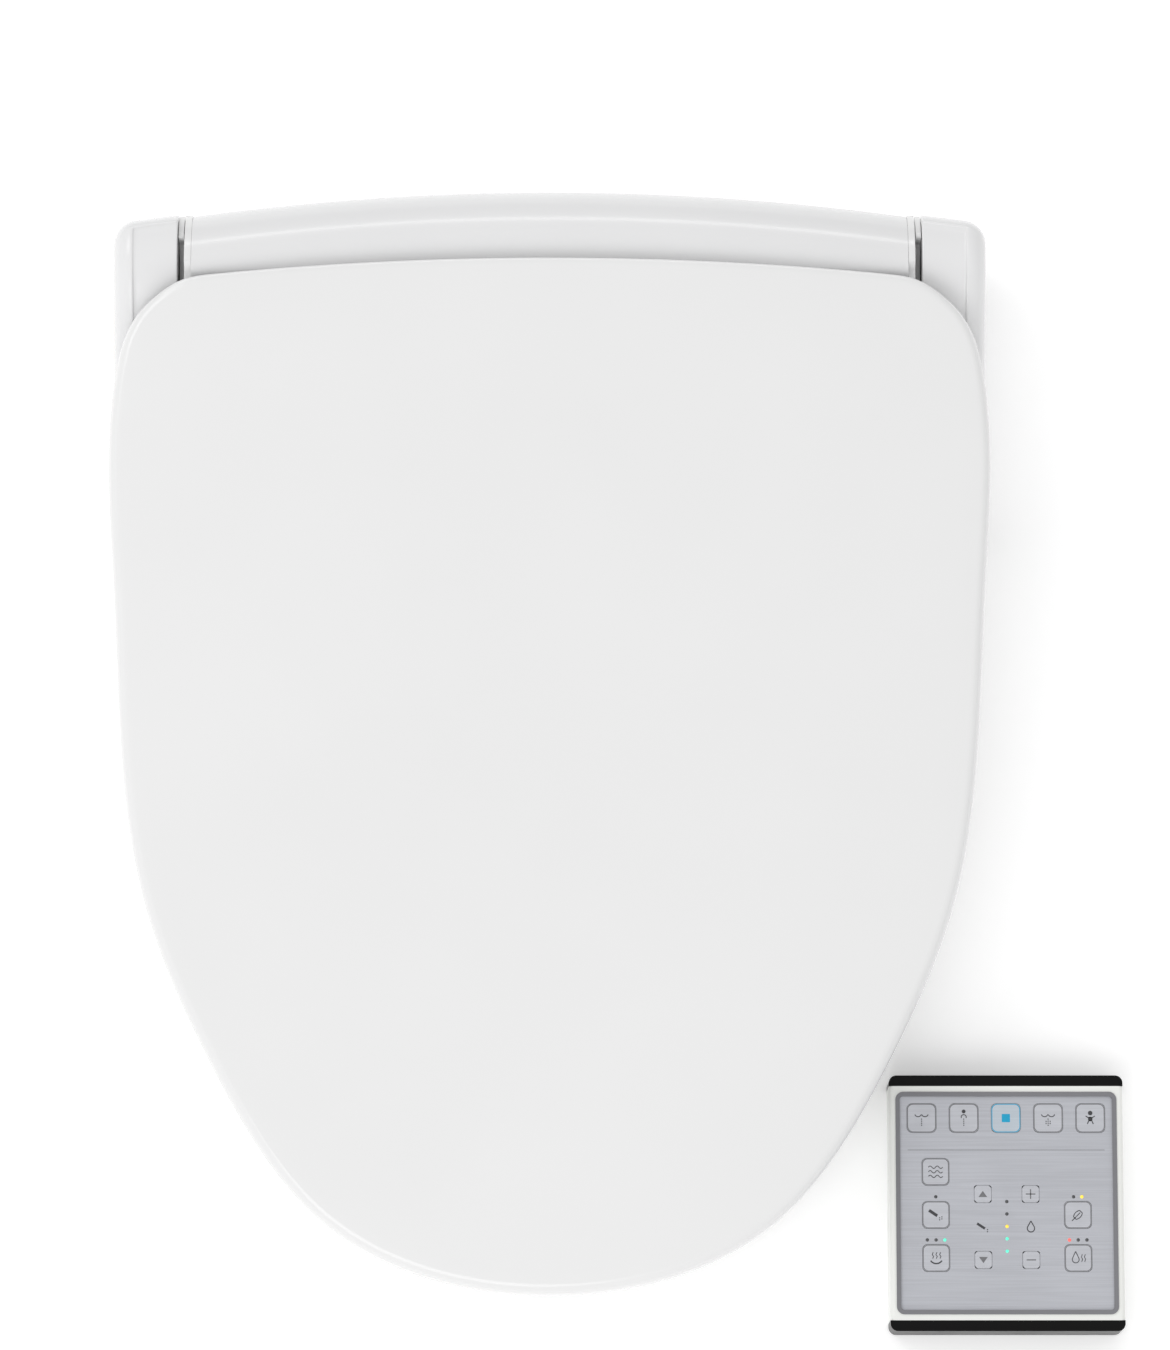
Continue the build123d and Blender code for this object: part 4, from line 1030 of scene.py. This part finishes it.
def lamp_colours(middles):
    """Colour of each lamp: a level column in the middle, and the lit lamps of the rows beside it."""
    colours = {m.freeze(): "dark" for m in middles}
    column = [m for m in middles if abs(m.x - FACE_MID.x) < LAMP_COLUMN_HALF]
    colours.update(zip(sorted(column, key=lambda m: -m.y), LED_COLUMN))
    left = sorted([m for m in middles if m.x < FACE_MID.x - LAMP_COLUMN_HALF], key=lambda m: m.x)
    right = sorted([m for m in middles if m.x > FACE_MID.x + LAMP_COLUMN_HALF], key=lambda m: m.x)
    lower = min(m.y for m in left)
    upper = max(m.y for m in right)
    colours[[m for m in left if m.y - lower < LAMP_ROW_GAP][-1]] = "green"
    colours[[m for m in right if upper - m.y < LAMP_ROW_GAP][-1]] = "amber"
    colours[[m for m in right if upper - m.y >= LAMP_ROW_GAP][0]] = "red"
    return colours


def build_lens(name, middle):
    """Domed lens with a short foot in its hole."""
    rings = []
    for k in range(6):
        angle = math.pi / 2 * k / 5
        ring = disc(0, 0, LENS_RADIUS_MM * math.cos(angle) + 0.001, LENS_SIDES) * MM
        z = np.full(len(ring), middle.z - 0.00005 + LENS_RISE * math.sin(angle))
        rings.append(np.column_stack([ring + np.array([middle.x, middle.y]), z]))
    foot = rings[0].copy()
    foot[:, 2] -= LENS_FOOT
    rings.insert(0, foot)
    count = len(rings) * LENS_SIDES
    faces = ring_faces(len(rings), LENS_SIDES)
    faces.append(list(range(LENS_SIDES)))
    faces.append(list(range(count - LENS_SIDES, count)))
    return add_object(name, np.vstack(rings), faces, 60.0)


def build_leds():
    """Indicator lenses, each in its own colour; the first one stands for the CAD node."""
    colours = lamp_colours(led_middles())
    in_order = sorted(colours, key=lambda m: (m.x, m.y))
    for i, middle in enumerate(in_order):
        piece = build_lens(f"lamp_lens_{i:02d}", middle)
        replaced = ["remote_leds"] if i == 0 else ()
        finish_piece(piece, "remote", "lamp", replaced, LED_GLOW[colours[middle]])


# ---------------------------------------------------------------- stage, light and camera

FRAME_HEIGHT = 0.5875
VIEW_ELEVATION = 80.0
CAMERA_DISTANCE = 3.0
CAMERA_AIM = Vector((0.0154, HINGE.y - 0.1878, HINGE.z))
SENSOR = 36.0
FLOOR_HALF = 6.0
FLOOR_GAP = 0.0003
# Name, place, aim, width, depth and power of each soft light.
LIGHTS = [
    ("strip_light", (-0.3, 1.9, 1.45), (0.0, 0.0, 0.05), 2.4, 0.26, 6.5),
    ("key_light", (-1.1, 0.7, 1.9), (0.0, -0.1, 0.05), 0.9, 0.9, 5.0),
    ("fill_light", (-0.35, -1.1, 1.3), (0.0, -0.25, 0.05), 0.9, 0.7, 3.5),
]


def build_floor():
    """Plain pale floor just under the seat."""
    mesh = bpy.data.meshes.new("floor")
    corners = [(x * FLOOR_HALF, y * FLOOR_HALF, 0) for x, y in ((-1, -1), (1, -1), (1, 1), (-1, 1))]
    mesh.from_pydata(corners, [], [(0, 1, 2, 3)])
    floor = bpy.data.objects.new("floor", mesh)
    floor.location.z = -FLOOR_GAP
    bpy.context.scene.collection.objects.link(floor)
    made, _, shader, _ = new_material("floor_white")
    shader.inputs["Base Color"].default_value = (0.93, 0.93, 0.93, 1)
    shader.inputs["Roughness"].default_value = 0.9
    shader.inputs["Emission Color"].default_value = (1, 1, 1, 1)
    shader.inputs["Emission Strength"].default_value = 0.22
    mesh.materials.append(made)


def build_world():
    """Even world light, a little weaker near the horizon, behind the seat and on its right."""
    world = bpy.data.worlds.new("studio")
    bpy.context.scene.world = world
    world.use_nodes = True
    tree = world.node_tree
    background = tree.nodes["Background"]
    background.inputs["Color"].default_value = (1, 1, 1, 1)
    coords = tree.nodes.new("ShaderNodeTexCoord")
    split = tree.nodes.new("ShaderNodeSeparateXYZ")
    tree.links.new(coords.outputs["Generated"], split.inputs["Vector"])
    height = tree.nodes.new("ShaderNodeMapRange")
    height.inputs["From Min"].default_value = -0.1
    height.inputs["From Max"].default_value = 0.9
    height.inputs["To Min"].default_value = 0.75
    height.inputs["To Max"].default_value = 0.87
    tree.links.new(split.outputs["Z"], height.inputs["Value"])
    total = height.outputs["Result"]
    for axis, share in (("X", -0.1), ("Y", -0.2)):
        part = tree.nodes.new("ShaderNodeMath")
        part.operation = "MULTIPLY_ADD"
        part.inputs[1].default_value = share
        tree.links.new(split.outputs[axis], part.inputs[0])
        tree.links.new(total, part.inputs[2])
        total = part.outputs["Value"]
    tree.links.new(total, background.inputs["Strength"])


def add_area(name, place, aim, width, depth, power):
    """Soft rectangular light aimed at a point."""
    light = bpy.data.lights.new(name, "AREA")
    light.shape = "RECTANGLE"
    light.size = width
    light.size_y = depth
    light.energy = power
    thing = bpy.data.objects.new(name, light)
    thing.location = place
    thing.rotation_euler = (Vector(aim) - Vector(place)).to_track_quat("-Z", "Y").to_euler()
    bpy.context.scene.collection.objects.link(thing)


def build_camera():
    """Long lens from high above the front, framed wider on the right for the remote."""
    camera = bpy.data.cameras.new("camera")
    camera.sensor_fit = "VERTICAL"
    camera.sensor_height = SENSOR
    camera.lens = SENSOR * CAMERA_DISTANCE / FRAME_HEIGHT
    camera.clip_end = 20.0
    thing = bpy.data.objects.new("camera", camera)
    up = math.radians(VIEW_ELEVATION)
    offset = Vector((0, -math.cos(up), math.sin(up))) * CAMERA_DISTANCE
    thing.location = CAMERA_AIM + offset
    thing.rotation_euler = (-offset).to_track_quat("-Z", "Y").to_euler()
    bpy.context.scene.collection.objects.link(thing)
    bpy.context.scene.camera = thing
    bpy.context.scene.view_settings.view_transform = "Standard"


def main():
    """Dress the CAD nodes, build the finer pieces and the studio."""
    dress_cad_nodes()
    build_lid()
    build_hinge_bar()
    build_pod(1)
    build_pod(-1)
    build_hinge_arms()
    build_seat()
    build_key_prints()
    build_face_prints()
    build_leds()
    build_floor()
    build_world()
    for light in LIGHTS:
        add_area(*light)
    build_camera()


main()
